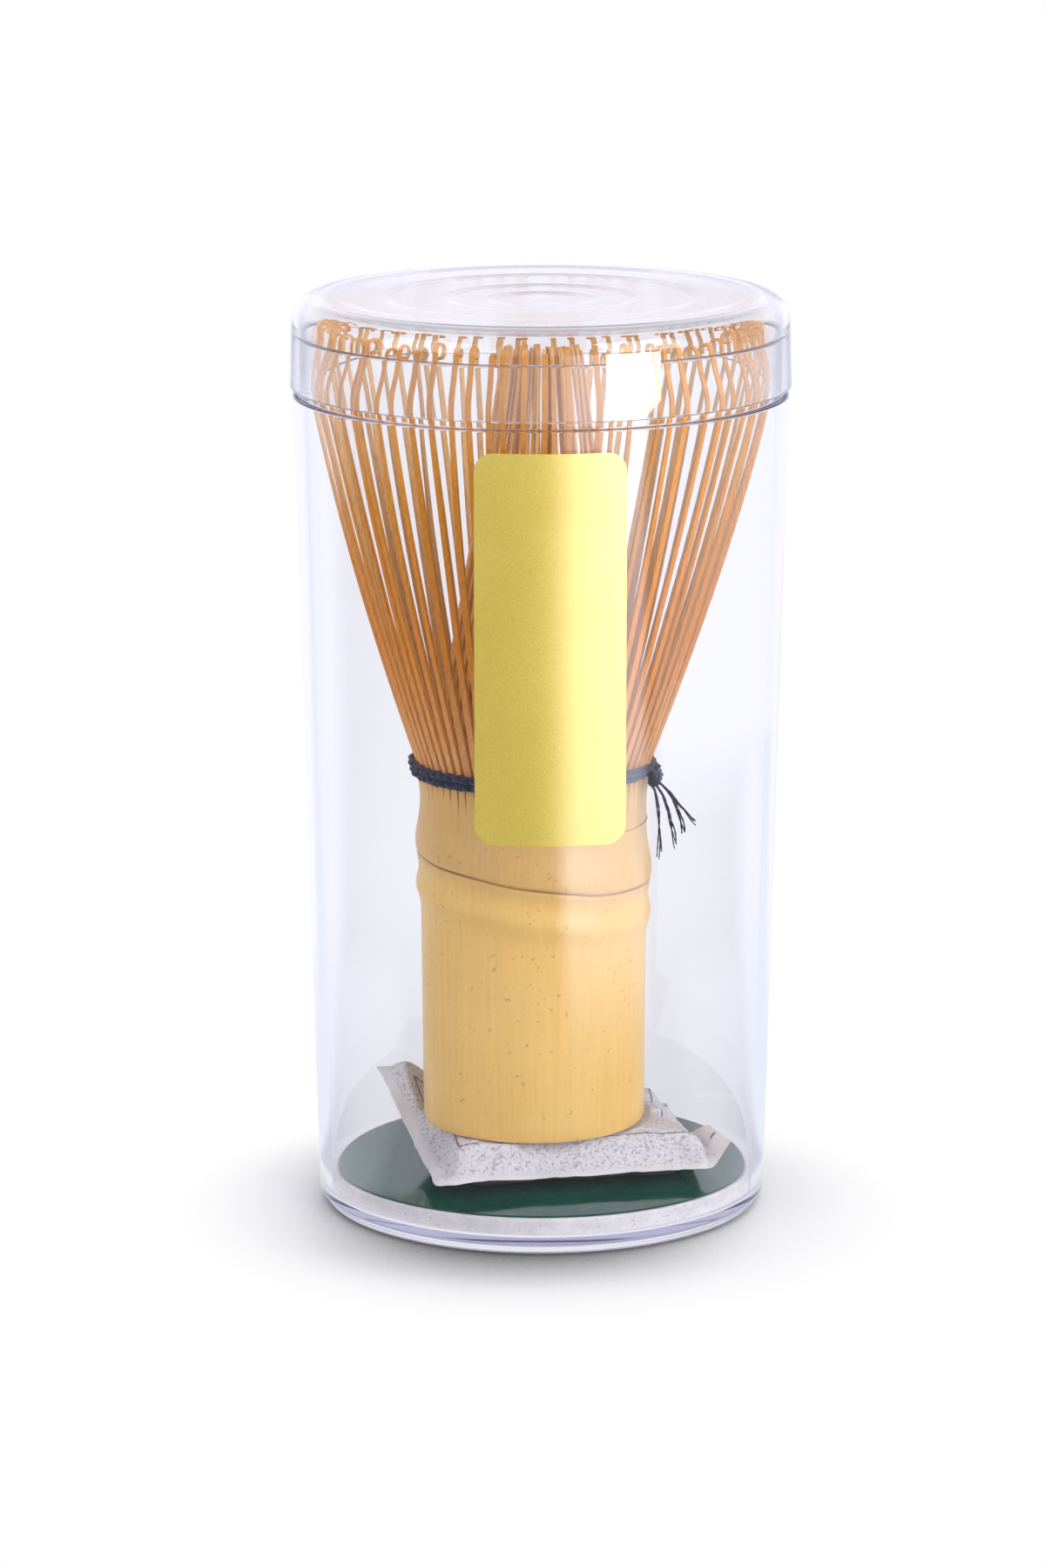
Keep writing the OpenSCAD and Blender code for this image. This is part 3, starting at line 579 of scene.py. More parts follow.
def culm_handle():
    """Points, faces and the numbers for the finish: how golden, how stained, and where it is cut."""
    angle = np.arange(AROUND) * 2 * np.pi / AROUND
    node_line = node_height(angle)
    spread = np.linspace(-1, 1, SKIN_ROWS)
    eased = np.sign(spread) * np.abs(spread) ** CROWDING
    reach = np.where(eased[:, None] < 0, node_line - FILLET, HANDLE_H - node_line)
    from_node = eased[:, None] * reach
    height = node_line + from_node
    radius = culm_r(from_node, height / NODE_H)
    radius += OUT_OF_ROUND * np.sin(2 * angle + 0.6) * (1 - np.abs(eased[:, None]))
    top_r = radius[-1].mean()
    cup_r = top_r - SPLIT_WALL
    under, over = NODE_H - SEPTUM_HALF, NODE_H + SEPTUM_HALF
    foot = np.array([(0, under), (BORE_R - FILLET, under), (BORE_R, under - FILLET), (BORE_R, BORE_CHAMFER),
                     (BORE_R + BORE_CHAMFER, 0), (HANDLE_R - FOOT_ROUND, 0),
                     (HANDLE_R - FOOT_NICK, FOOT_NICK)])
    cup = np.array([(top_r - 0.01, HANDLE_H), (cup_r, HANDLE_H), (cup_r, over + FILLET),
                    (cup_r - FILLET, over), (0, over)])
    rows = np.ones(AROUND)
    all_r = np.concatenate([foot[:, :1] * rows, radius, cup[:, :1] * rows])
    all_h = np.concatenate([foot[:, 1:] * rows, height, cup[:, 1:] * rows])
    points, faces = turned(all_r, all_h + foot_z)
    side = np.concatenate([np.full((len(foot), AROUND), -9.0), from_node, np.full((len(cup), AROUND), 9.0)])
    skin = np.concatenate([np.zeros(len(foot)), np.ones(len(radius)), np.zeros(len(cup))])[:, None] * rows
    patchy = 0.75 + 0.25 * np.sin(5 * angle + 0.5) * np.sin(2 * angle)
    grids = {"golden": 1 - smooth_step(side, -2.5, 0.6),
             "scar": np.exp(-(side / 0.13) ** 2) * patchy,
             "cut": 1 - skin}
    values = {key: np.append(grid[1:-1].ravel(), [grid[0, 0], grid[-1, 0]]) for key, grid in grids.items()}
    return points + (handle_x, 0, 0), faces, values


handle_points, handle_faces, handle_values = culm_handle()
make_piece("culm_handle", handle_points, handle_faces, culm_skin, "whisk", ["whisk_handle"], "bamboo_culm",
           sharp=50, values=handle_values)

# %% [markdown]
# ## Split bamboo
# A tine is a strip of culm, split off and scraped thin. Its outer face keeps the skin near the root; further
# up it has the caramel colour of soaked and bent bamboo, and its inner face is paler. Each strip took the
# scraping a little differently, so each has a number of its own that makes it lighter or darker.

# %% Split bamboo
def split_bamboo(name, low, middle, high, shade):
    """Wood that runs from the culm's skin at the root through three colours up the strip, and is streaked
    along it."""
    material, tree, shader = new_finish(name, {"IOR": 1.48, "Specular IOR Level": 0.35})
    place = add_node(tree, "TexCoord").outputs["Object"]
    own, along, inner_face = (add_node(tree, "Attribute", attribute_name=key).outputs["Fac"]
                              for key in ("strip", "along", "inner_face"))
    rooted, split, bent = (add_node(tree, "MapRange", {
        "Value": along, "From Min": start, "From Max": end}, interpolation_type="SMOOTHSTEP")
        for start, end in ((0.05, 0.13), (0.12, 0.4), (0.45, 0.75)))
    colour = linear(low)
    for share, wood in ((split, middle), (bent, high), (inner_face, "#F0CC8E")):
        colour = add_node(tree, "Mix", {0: share, 6: colour, 7: linear(wood)}, data_type="RGBA")
    tint = add_node(tree, "MapRange", {"Value": own, "To Min": shade, "To Max": 1.08})
    streak = add_node(tree, "MapRange", {
        "Value": grain_at(tree, place, 0.25), "From Min": 0.3, "From Max": 0.7, "To Min": 0.8, "To Max": 1.1})
    both = add_node(tree, "Math", {0: tint, 1: streak}, operation="MULTIPLY")
    streaked = add_node(tree, "Mix", {0: 1.0, 6: colour, 7: both}, data_type="RGBA", blend_type="MULTIPLY")
    shaded = add_node(tree, "Mix", {
        0: rooted, 6: culm_colour(tree, place, 0.0), 7: streaked}, data_type="RGBA")
    bump = add_node(tree, "Bump", {
        "Height": grain_at(tree, place, 0.2), "Strength": 0.2, "Distance": 0.00008})
    worn = add_node(tree, "MapRange", {"Value": rooted, "To Min": 0.36, "To Max": 0.55})
    wire(tree, shader, {"Base Color": shaded, "Roughness": worn, "Normal": bump})
    return material


caramel_strips = split_bamboo("split_bamboo_outer", "#E2A264", "#DE8C30", "#DE921E", 0.82)
# The inner tines' paler colours are painted light, which lifts the shade in the middle of the whisk.
inner_strips_painted_paler = split_bamboo("split_bamboo_inner", "#E0A872", "#E2A25E", "#EAB068", 0.8)
print("Made", caramel_strips.name, "and", inner_strips_painted_paler.name)

# %% [markdown]
# ## Tines
# Seventy-two outer tines flare from the binding to the wall of the case and curl over at their tips;
# forty-eight inner ones close to a bundle in the middle. A real whisk is split by hand, so no two tines are
# alike: small random numbers, always drawn in the same order, change each one's width, lean, length and curl.
# Low down the strips are as wide as their share of the culm, so they touch, and the slits open above that.

# %% Strips from centre lines
FANS = 12
CORNERS = 8
SPLIT_TO_THREAD = 7
THREAD_H = HANDLE_H + SPLIT_TO_THREAD
FULL_H = 96.6
WHISK_H = 105.6
ROOT_T = 1.4
PARED = (41.5, 46.5)
SPLIT_R = culm_r(HANDLE_H - NODE_H, HANDLE_H / NODE_H)
draw = np.random.default_rng(20)


def strips(radius, height, angle, width, thick, bevel, twist):
    """Points and faces of strips. Each centre line is a radius, a height and an angle round the whisk at
    every row. The section is an eight-cornered bar across the radius, turned by the twist, and it is square
    to the line, except at the root, where it is level to meet the handle."""
    along_r = np.gradient(radius, axis=1) * smooth_step(height, HANDLE_H, HANDLE_H + 1.5)
    along_h = np.gradient(height, axis=1)
    length = np.hypot(along_r, along_h)
    lean = np.clip((height - THREAD_H) / (FULL_H - THREAD_H), 0, 1) * -handle_x
    paths = np.stack([radius * np.cos(angle) + lean + handle_x, radius * np.sin(angle), height + foot_z], -1)
    across = np.stack([-np.sin(angle), np.cos(angle), 0 * angle], -1)
    face_r, face_h = along_h / length, -along_r / length
    out = np.stack([face_r * np.cos(angle), face_r * np.sin(angle), face_h], -1)
    side, slim = width / 2, thick / 2
    x = np.stack([side, side - bevel, bevel - side, -side, -side, bevel - side, side - bevel, side], -1)
    y = np.stack([slim - bevel, slim, slim, slim - bevel, bevel - slim, -slim, -slim, bevel - slim], -1)
    turn = twist[..., None]
    section = np.stack([x * np.cos(turn) - y * np.sin(turn), x * np.sin(turn) + y * np.cos(turn)], -1)
    return swept(paths, across, out, section)


def roots(count, rows):
    """For tines of one row: the angle of each round the whisk, and the heights of its rows from the culm's
    split face to the binding."""
    first = (np.arange(count)[:, None] + 0.5) * 2 * np.pi / count
    return first, np.repeat(np.linspace(HANDLE_H, THREAD_H, rows)[None], count, 0)


def make_fans(row, lines, finish, slot, inner_pale):
    """The pieces of one row of tines. Each tine has a shade of its own, each point knows its share of the way
    along, and the corners on the inner face how much paler that face is."""
    per_fan = len(lines[0]) // FANS
    for fan in range(FANS):
        *sizes, along = (line[fan * per_fan:(fan + 1) * per_fan] for line in lines)
        points, faces = strips(*sizes)
        corners = np.ones((*along.shape, CORNERS))
        own_shade = draw.uniform(0, 1, per_fan)[:, None, None] * corners
        name = f"{row}_tines_{fan + 1:02d}"
        make_piece("split_" + name, points, faces, finish, "whisk", [name], slot, sharp=30, values={
            "strip": own_shade, "along": along[..., None] * corners,
            "inner_face": corners * np.repeat([0.0, inner_pale], CORNERS // 2)})


print("The culm is split from a radius of", round(SPLIT_R, 2), "mm")

# %% Outer tines
OUTER = 72
OUTER_ROOT_ROWS = 15
OUTER_W, OUTER_TIP_W = 1.0, 0.7
OUTER_T, OUTER_TIP_T = 0.66, 0.32
BIND_OUT = SPLIT_R + 0.3
SPREAD_R = 29.55
FLARE_FROM, FLARE_TO = (6.1, 16.5), (3.6, 16.5)
TIP_IN = 1.2
INNER_FACE_PALE = 0.7


def outer_tines():
    """Centre lines and sizes of the outer tines. From the root they lean out past the binding, follow a cubic
    curve to the full spread, close in a little and roll over in a curl that tightens towards its end."""
    lean_in = np.abs(draw.normal(0, 0.35, OUTER)).clip(0, 1)[:, None]
    short = draw.uniform(0, 1.3, OUTER)[:, None]
    roll = draw.uniform(0.75, 1.3, OUTER)[:, None]
    turns = np.radians(draw.uniform(170, 310, OUTER))[:, None]
    wander = np.radians(draw.normal(0, 1.3, OUTER).clip(-1.7, 1.7))[:, None]
    sway = np.radians(draw.normal(0, 0.5, OUTER).clip(-0.8, 0.8))[:, None]
    slit = draw.uniform(41.6, 45.4, OUTER)[:, None]
    broad = draw.normal(1, 0.1, OUTER).clip(0.8, 1.22)[:, None]
    swing = np.radians(draw.normal(0, 9, OUTER).clip(-20, 20))[:, None]
    first, root_h = roots(OUTER, OUTER_ROOT_ROWS)
    face = culm_r(root_h - node_height(first), 1.0) + (BIND_OUT - SPLIT_R) * smooth_step(root_h, 42, THREAD_H)
    thick_root = ROOT_T - (ROOT_T - OUTER_T) * smooth_step(root_h, *PARED)
    bind = np.stack([face[:, -1:] - OUTER_T / 2, np.full((OUTER, 1), THREAD_H)], -1)
    full = np.stack([SPREAD_R - lean_in, FULL_H - short / 2], -1)
    flare = cubic([bind, np.add(bind, FLARE_FROM), np.subtract(full, FLARE_TO), full],
                  np.linspace(0, 1, 27)[None, 1:])
    tip = np.stack([full[..., 0] - TIP_IN, WHISK_H - roll - 0.2 - short], -1)
    close = cubic([full, full + (0.4, 3), tip - (0, 3), tip], np.linspace(0, 1, 9)[None, 1:])
    share = np.linspace(0, 1, 18)[None, 1:]
    tight = roll * (1 - 0.35 * share)
    curl_r = tip[..., 0] - roll + tight * np.cos(turns * share)
    curl_h = tip[..., 1] + tight * np.sin(turns * share)
    radius = np.concatenate([face - thick_root / 2, flare[..., 0], close[..., 0], curl_r], 1)
    height = np.concatenate([root_h, flare[..., 1], close[..., 1], curl_h], 1)
    along = np.cumsum(np.hypot(np.diff(radius, axis=1, prepend=radius[:, :1]),
                               np.diff(height, axis=1, prepend=height[:, :1])), 1)
    along /= along[:, -1:]
    angle = (first + wander * smooth_step(height, 50, 100)
             + sway * np.sin(np.pi * smooth_step(height, 48, 104)))
    pitch = 2 * np.pi * (radius + ROOT_T / 2) / OUTER
    strip_w = broad * (OUTER_W - (OUTER_W - OUTER_TIP_W) * smooth_step(height, THREAD_H, WHISK_H))
    opened = np.clip((height - slit) / (THREAD_H + 0.5 - slit), 0, 1) ** 0.7
    width = pitch * (1 - opened) + strip_w * opened
    upper = smooth_step(height[:, OUTER_ROOT_ROWS:], THREAD_H, WHISK_H - 4)
    thick = np.concatenate([thick_root, OUTER_T - (OUTER_T - OUTER_TIP_T) * upper], 1)
    bevel = 0.01 + 0.08 * opened
    twist = swing * smooth_step(height, 60, 100)
    return radius, height, angle, width, thick, bevel, twist, along


make_fans("outer", outer_tines(), caramel_strips, "split_bamboo", INNER_FACE_PALE)

# %% Inner tines
INNER = 48
INNER_ROOT_ROWS = 7
INNER_W, INNER_TIP_W = 0.85, 0.43
INNER_T, INNER_TIP_T = 0.8, 0.38
INNER_ROOT_R = SPLIT_R - SPLIT_WALL / 2 - ROOT_T / 2
BUNDLE_R = 4.26
BUNDLE_H = 103.0


def inner_tines():
    """Centre lines and sizes of the inner tines: straight past the binding, then a cubic curve in to the
    bundle, where they lean round the axis a little and end at uneven heights."""
    short = draw.uniform(0, 2.5, INNER)[:, None]
    loose = draw.normal(0, 0.45, INNER).clip(-0.9, 0.9)[:, None]
    wander = np.radians(draw.normal(5, 4, INNER).clip(-3, 13))[:, None]
    swing = np.radians(draw.normal(0, 20, INNER).clip(-40, 40))[:, None]
    broad = draw.normal(1, 0.1, INNER).clip(0.8, 1.2)[:, None]
    first, root_h = roots(INNER, INNER_ROOT_ROWS)
    thick_root = ROOT_T - (ROOT_T - INNER_T) * smooth_step(root_h, *PARED)
    bind = np.full((INNER, 1, 2), (INNER_ROOT_R, THREAD_H))
    tip = np.stack([BUNDLE_R + loose, BUNDLE_H - short], -1)
    gather = cubic([bind, bind + (-1.5, 15), tip + (1.9, -15), tip], np.linspace(0, 1, 25)[None, 1:])
    radius = np.concatenate([np.full_like(root_h, INNER_ROOT_R), gather[..., 0]], 1)
    height = np.concatenate([root_h, gather[..., 1]], 1)
    along = (height - HANDLE_H) / (height[:, -1:] - HANDLE_H)
    angle = first + wander * smooth_step(height, 55, BUNDLE_H)
    pitch = 2 * np.pi * (radius + ROOT_T / 2) / INNER
    opened = smooth_step(height, 42.5, 46.5)
    upper = smooth_step(height, THREAD_H, BUNDLE_H)
    width = pitch * (1 - opened) + broad * opened * (INNER_W - (INNER_W - INNER_TIP_W) * upper)
    thick = np.concatenate([thick_root, INNER_T - (INNER_T - INNER_TIP_T) * upper[:, INNER_ROOT_ROWS:]], 1)
    bevel = 0.01 + 0.07 * opened
    return radius, height, angle, width, thick, bevel, swing * smooth_step(height, 55, 95), along


make_fans("inner", inner_tines(), inner_strips_painted_paler, "inner_bamboo", 0.0)

# %% [markdown]
# ## Binding thread
# A cotton thread of three twisted plies binds the tines in two turns and is tied at the right. Its section is
# a clover of three lobes that turns as it goes along, which draws the twist in the mesh itself. The thread
# sinks a little between the tines, so its edge is gently scalloped.

# %% Navy cotton
def navy_cotton():
    """Dyed cotton: a fine noise of loose fibres lightens it, and sheen gives the soft edge of fuzz."""
    material, tree, shader = new_finish("navy_twisted_cotton", {
        "Roughness": 0.8, "Sheen Weight": 0.25, "Sheen Roughness": 0.5})
    place = add_node(tree, "TexCoord").outputs["Object"]
    fibre = add_node(tree, "TexNoise", {"Vector": place, "Scale": per_mm(0.25), "Detail": 3.0})
    lit = add_node(tree, "MapRange", {"Value": fibre, "From Min": 0.35, "From Max": 0.75})
    dye = add_node(tree, "Mix", {0: lit, 6: linear("#0C1026"), 7: linear("#222A58")}, data_type="RGBA")
    bump = add_node(tree, "Bump", {"Height": fibre, "Strength": 0.4, "Distance": 0.00008})
    wire(tree, shader, {"Base Color": dye, "Normal": bump})
    return material


def thread_tube(path, thickness, lay=2.2, sides=12, lobes=3, depth=0.16):
    """A twisted thread along a path: a section of lobes, r = half (1 - depth + depth cos(lobes a)), that
    turns on by one lobe in each lay of length. It is square to the path, and one fixed way keeps it from
    spinning."""
    way = np.gradient(path, axis=0)
    way /= np.linalg.norm(way, axis=1, keepdims=True)
    run = np.concatenate([[0], np.cumsum(np.linalg.norm(np.diff(path, axis=0), axis=1))])
    fixed = np.array([0.31, 0.17, 0.93])
    across = np.cross(fixed, way)
    across /= np.linalg.norm(across, axis=1, keepdims=True)
    out = np.cross(way, across)
    angle = np.arange(sides) * 2 * np.pi / sides
    lobe = 1 - depth + depth * np.cos(lobes * angle[None] - 2 * np.pi * run[:, None] / lay)
    half = np.asarray(thickness).reshape(-1, 1) / 2
    section = np.stack([half * lobe * np.cos(angle), half * lobe * np.sin(angle)], -1)
    return swept(path[None], across[None], out[None], section[None])


cotton = navy_cotton()
print("Made", cotton.name)

# %% Binding thread
KNOT_ANGLE = np.radians(-22)
KNOT_L = 2.4
KNOT_STANDS = 0.75
TURNS = 2
PITCH = 1.06
THREAD_D = 1.15
SUNK = 0.1
CLIMB = np.radians(40)
coil_rise = TURNS * PITCH
knot_sweep = KNOT_L / (BIND_OUT + 0.5)


def coil_r(height):
    """Radius of the thread's middle where it lies on the tines, which slope more above the binding."""
    slope = np.where(height < THREAD_H, 0.12, 0.3)
    return BIND_OUT + slope * (height - THREAD_H) + THREAD_D / 2 - SUNK


KNOT_R = coil_r(THREAD_H + coil_rise / 2) + KNOT_STANDS


def coil_path(rings=900):
    """Two turns of a rising helix. Near both ends the thread climbs smoothly outwards to the knot."""
    whole = 2 * np.pi * TURNS - knot_sweep
    a = np.linspace(0, whole, rings)
    height = THREAD_H + coil_rise * (a / whole - 0.5)
    climb = 1 - smooth_step(np.minimum(a, whole - a), 0, CLIMB)
    at = KNOT_ANGLE + knot_sweep / 2 + a
    dip = SUNK * np.cos(OUTER * at)
    radius = coil_r(height) + (KNOT_R - coil_r(height)) * climb - dip * (1 - climb)
    return np.stack([radius * np.cos(at) + handle_x, radius * np.sin(at), height + foot_z], -1)


make_piece("twisted_binding", *thread_tube(coil_path(), THREAD_D), cotton, "whisk", ["binding_thread"],
           "navy_thread", sharp=70)

# %% [markdown]
# ## Knot and frayed ends
# The two ends are tied in an overhand knot, which is a trefoil: a curve that winds three times one way and
# twice the other. The four ends that hang from it follow the routes of the frame, and each is a few loose
# plies, which part towards the tip as cut cotton does. They are too short to be cords of their own.

# %% Knot
KNOT_THREAD_D = 0.85
knot_out = np.array([np.cos(KNOT_ANGLE), np.sin(KNOT_ANGLE), 0])
knot_side = np.array([-np.sin(KNOT_ANGLE), np.cos(KNOT_ANGLE), 0])
knot_up = np.array([0, 0, 1.0])
knot_middle = KNOT_R * knot_out + (handle_x, 0, THREAD_H + foot_z)


def from_knot(local):
    """Places given outwards, sideways and up from the middle of the knot, in the shared frame."""
    return knot_middle + local[:, :1] * knot_out + local[:, 1:2] * knot_side + local[:, 2:] * knot_up


def knot_path(rings=160):
    """A trefoil: out = -sin 3t, side = sin t + 2 sin 2t, up = cos t - 2 cos 2t, shrunk to the knot's box."""
    t = np.linspace(0, 2 * np.pi, rings)
    out = -0.35 * np.sin(3 * t) + 0.1
    side = 0.36 * (np.sin(t) + 2 * np.sin(2 * t))
    up = 0.46 * (np.cos(t) - 2 * np.cos(2 * t))
    return from_knot(np.stack([out, side, up], -1))


make_piece("overhand_knot", *thread_tube(knot_path(), KNOT_THREAD_D), cotton, "whisk", ["thread_knot"],
           "navy_thread", sharp=70)

# %% Frayed ends
TAIL_ROUTES = np.array([
    [[0, 0.3, -1], [1, 0.3, -1.4], [2, 0.3, -2.2], [3, 0.2, -3.3], [4.2, 0.1, -4.5], [5.2, 0, -5.6],
     [6.1, 0, -6.5]],
    [[0, -0.4, -1], [0.9, -0.4, -1.8], [1.6, -0.4, -3], [2.1, -0.4, -4.4], [2.5, -0.4, -6],
     [2.9, -0.3, -7.8], [3.2, -0.2, -9.8]],
    [[0, -0.9, -1.2], [0.6, -1, -2], [0.9, -1.1, -3.2], [1.1, -1.2, -4.8], [1.2, -1.3, -6.6],
     [1.3, -1.4, -8.8], [1.4, -1.5, -11.2]],
    [[0, 0.9, -1], [0.9, 0.9, -1.6], [1.8, 1, -2.6], [2.6, 1.1, -4], [3.2, 1.2, -5.6], [3.6, 1.3, -7.2],
     [3.8, 1.3, -8.6]],
])
PLIES = 3
PLY_D = 0.25


def through(points, samples):
    """A smooth curve through points: between two of them, a cubic whose slope at each is half the way between
    its neighbours."""
    ends = np.concatenate([2 * points[:1] - points[1:2], points, 2 * points[-1:] - points[-2:-1]])
    at = np.linspace(0, len(points) - 1.000001, samples)
    i = at.astype(int)
    t = (at - i)[:, None]
    a, b, c, d = (ends[i + k] for k in range(4))
    bend = 2 * a - 5 * b + 4 * c - d
    return 0.5 * (2 * b + (c - a) * t + bend * t ** 2 + (3 * b - a - 3 * c + d) * t ** 3)


def frayed_ends(samples=44):
    """Every ply goes round its route at a distance that grows towards the tip, and thins at the very end."""
    all_points, all_faces, count = [], [], 0
    share = np.linspace(0, 1, samples)
    for route in TAIL_ROUTES:
        line = through(route, samples)
        for ply in range(PLIES):
            apart = 0.09 + draw.uniform(0.05, 0.3) * share ** 2
            turn = 2 * np.pi * (ply / PLIES + draw.uniform(0.8, 1.4) * share)
            loose = line + np.stack([apart * np.cos(turn), apart * np.sin(turn), 0 * share], -1)
            keep = int(samples * draw.uniform(0.86, 1))
            thin = PLY_D * (1 - 0.5 * share[:keep] ** 6)
            points, faces = thread_tube(from_knot(loose[:keep]), thin, lay=1.1, sides=6, lobes=2, depth=0.15)
            all_points.append(points)
            all_faces += [[k + count for k in face] for face in faces]
            count += len(points)
    return np.concatenate(all_points), all_faces


make_piece("frayed_thread_ends", *frayed_ends(), cotton, "whisk", ["thread_tails"], "navy_thread", sharp=70)

# %% [markdown]
# ## Sachet
# The sachet is a pillow of thin white paper, sealed flat round its edge and filled with beads. It lies under
# the whisk, its back left corner bent up the wall and its right seam folded up. The pillow starts as two flat
# grids that share their rim. Cloth simulation blows it up a little, which gathers the paper along the seam as
# real paper gathers; then it is bent and pressed flat where the handle stands on it and where it lies on the
# card.

# %% Sachet paper
FRAME_U, FRAME_V = 0.74, 0.66


def sachet_paper():
    """Thin paper: fibres, grains of the fill that show through where it is filled, a paler seam, a thin
    printed frame, drawn where the number called frame is one, and painted shade: a dark lower sheet,
    where the number called under is one."""
    material, tree, shader = new_finish("creased_sachet_paper", {"Roughness": 0.75})
    place = add_node(tree, "TexCoord").outputs["Object"]
    seam, frame_at, under = (add_node(tree, "Attribute", attribute_name=key).outputs["Fac"]
                             for key in ("seam", "frame", "under"))
    fibre = add_node(tree, "TexNoise", {"Vector": place, "Scale": per_mm(0.6), "Detail": 3.0})
    grains = add_node(tree, "TexNoise", {"Vector": place, "Scale": per_mm(0.42), "Detail": 2.0})
    grain = add_node(tree, "MapRange", {"Value": grains, "From Min": 0.5, "From Max": 0.66, "To Max": 0.75})
    filled = add_node(tree, "Math", {0: 1.0, 1: seam}, operation="SUBTRACT")
    showing = add_node(tree, "Math", {0: grain, 1: filled}, operation="MULTIPLY")
    off_line = add_node(tree, "Math", {0: frame_at, 1: 1.0}, operation="SUBTRACT")
    from_line = add_node(tree, "Math", {0: off_line}, operation="ABSOLUTE")
    line = add_node(tree, "MapRange", {
        "Value": from_line, "From Min": 0.008, "From Max": 0.016, "To Min": 0.75, "To Max": 0.0})
    colour = add_node(tree, "Mix", {0: fibre, 6: linear("#C2C0C6"), 7: linear("#D8D6DC")}, data_type="RGBA")
    # The dark tone on the lower sheet, where under is one, is painted shade under the sachet.
    for share, tone in ((showing, "#8E8B8E"), (seam, "#DAD9DF"), (line, "#3A3C58"), (under, "#5C5A5E")):
        colour = add_node(tree, "Mix", {0: share, 6: colour, 7: linear(tone)}, data_type="RGBA")
    bump = add_node(tree, "Bump", {"Height": fibre, "Strength": 0.3, "Distance": 0.00012})
    wire(tree, shader, {"Base Color": colour, "Normal": bump})
    return material


paper = sachet_paper()
print("Made", paper.name)

# %% Flat pillow
SACHET_L = 39.0
SACHET_W = 33.0
SACHET_TURN = np.radians(12.7)
SACHET_SHIFT = 1.9
SEAM_SHARE = 0.84
CELLS_U, CELLS_V = 66, 56
card_top = node_box("base_card")[1][2]


def pillow_grid():
    """Shares u and v of half the length and width over the upper and the lower sheet, and faces that join the
    sheets along their rim."""
    u, v = np.meshgrid(np.linspace(-1, 1, CELLS_U), np.linspace(-1, 1, CELLS_V))
    inner = ((np.abs(u) < 1) & (np.abs(v) < 1)).ravel()
    upper = np.arange(u.size)
    lower = np.where(inner, u.size - 1 + np.cumsum(inner), upper)
    quads = grid_quads(CELLS_V, CELLS_U, False)
    faces = [*quads.tolist(), *lower[quads][:, ::-1].tolist()]
    whole_u, whole_v = (np.concatenate([a.ravel(), a.ravel()[inner]]) for a in (u, v))
    side = np.concatenate([np.where(inner, 1.0, 0.0), -np.ones(inner.sum())])
    return whole_u, whole_v, side, faces


share_u, share_v, sheet_side, pillow_faces = pillow_grid()
edge_share = np.maximum(np.abs(share_u), np.abs(share_v))
print("Pillow of", len(pillow_faces), "faces")

# %% Blow the pillow up
SIM_SCALE = 20
FRAMES = 20
PRESSURE = 4.0
STIFFNESS = 30
BENDING = 0.6
CROWN = 1.3
UNEVEN = 0.05
MOST_MOVE = 2.6


def fullness(share):
    """Fullness across the sachet: none on the seam, most in the middle."""
    a = np.abs(share)
    return np.where(a < SEAM_SHARE, 1 - (a / SEAM_SHARE) ** 3, 0)


def blown_up():
    """The pillow's points after cloth simulation, run twenty times larger, where cloth settings are at home.
    Pressure swells the crowned pillow from inside, and how far each point may move is capped."""
    rough = np.random.default_rng(4).normal(0, UNEVEN, (len(share_u), 3))
    crown = CROWN * fullness(share_u) * fullness(share_v)
    flat = np.stack([SACHET_L / 2 * share_u, SACHET_W / 2 * share_v, crown * sheet_side], -1) + rough
    mesh = bpy.data.meshes.new("pillow")
    mesh.from_pydata((flat * MM * SIM_SCALE).tolist(), [], pillow_faces)
    pillow = bpy.data.objects.new("pillow", mesh)
    scene = bpy.context.scene
    scene.collection.objects.link(pillow)
    cloth = pillow.modifiers.new("cloth", "CLOTH").settings
    cloth.use_pressure = True
    cloth.uniform_pressure_force = PRESSURE
    cloth.tension_stiffness = STIFFNESS
    cloth.compression_stiffness = STIFFNESS
    cloth.bending_stiffness = BENDING
    cloth.effector_weights.gravity = 0
    for step in range(1, FRAMES + 1):
        scene.frame_set(step)
    done = pillow.evaluated_get(bpy.context.evaluated_depsgraph_get()).data
    moved = np.empty(len(flat) * 3)
    done.vertices.foreach_get("co", moved)
    move = moved.reshape(-1, 3) / (MM * SIM_SCALE) - flat
    scene.frame_set(1)
    bpy.data.objects.remove(pillow)
    length = np.linalg.norm(move, axis=1, keepdims=True)
    return flat + move * np.minimum(1, MOST_MOVE / np.maximum(length, 1e-6))


pillow_points = blown_up()
print("Pillow after simulation, mm:", np.ptp(pillow_points, axis=0).round(1))

# %% Lay the sachet in the case
CREASES = 16
MAIN_CREASES = [(0, 1, -0.66, 0.75, 0.3), (0, 1, 0.7, 0.5, 0.25),
                (1, 0, -0.7, 0.6, 0.28), (1, 0, 0.76, 0.4, 0.2)]
BED_H = 1.9
CORNER_LIFT = 7.0
CORNER_MOVE = (-2.4, 0.6)
FOLD_LIFT = 3.6
FORWARD = (0, -0.7)
PLUMP = 1.25
WALL_GAP = 0.6
HANDLE_GAP = 0.1
CARD_GAP = 0.03
PAPER_GAP = 0.02


def creases():
    """Straight folds in the paper. Each is a ridge with plane sides, height (1 - distance / reach), along a
    line across the shares u and v: four along the seams and others at random."""
    pick = np.random.default_rng(11)
    turn = pick.uniform(0, np.pi, CREASES)
    lines = np.column_stack([np.cos(turn), np.sin(turn), pick.uniform(-0.8, 0.8, CREASES),
                             pick.uniform(-0.4, 0.45, CREASES), pick.uniform(0.1, 0.3, CREASES)])
    across_u, across_v, at, height, reach = np.concatenate([lines, MAIN_CREASES]).T[:, :, None]
    distance = np.abs(across_u * share_u + across_v * share_v - at)
    return (height * np.maximum(0, 1 - distance / reach)).sum(0)


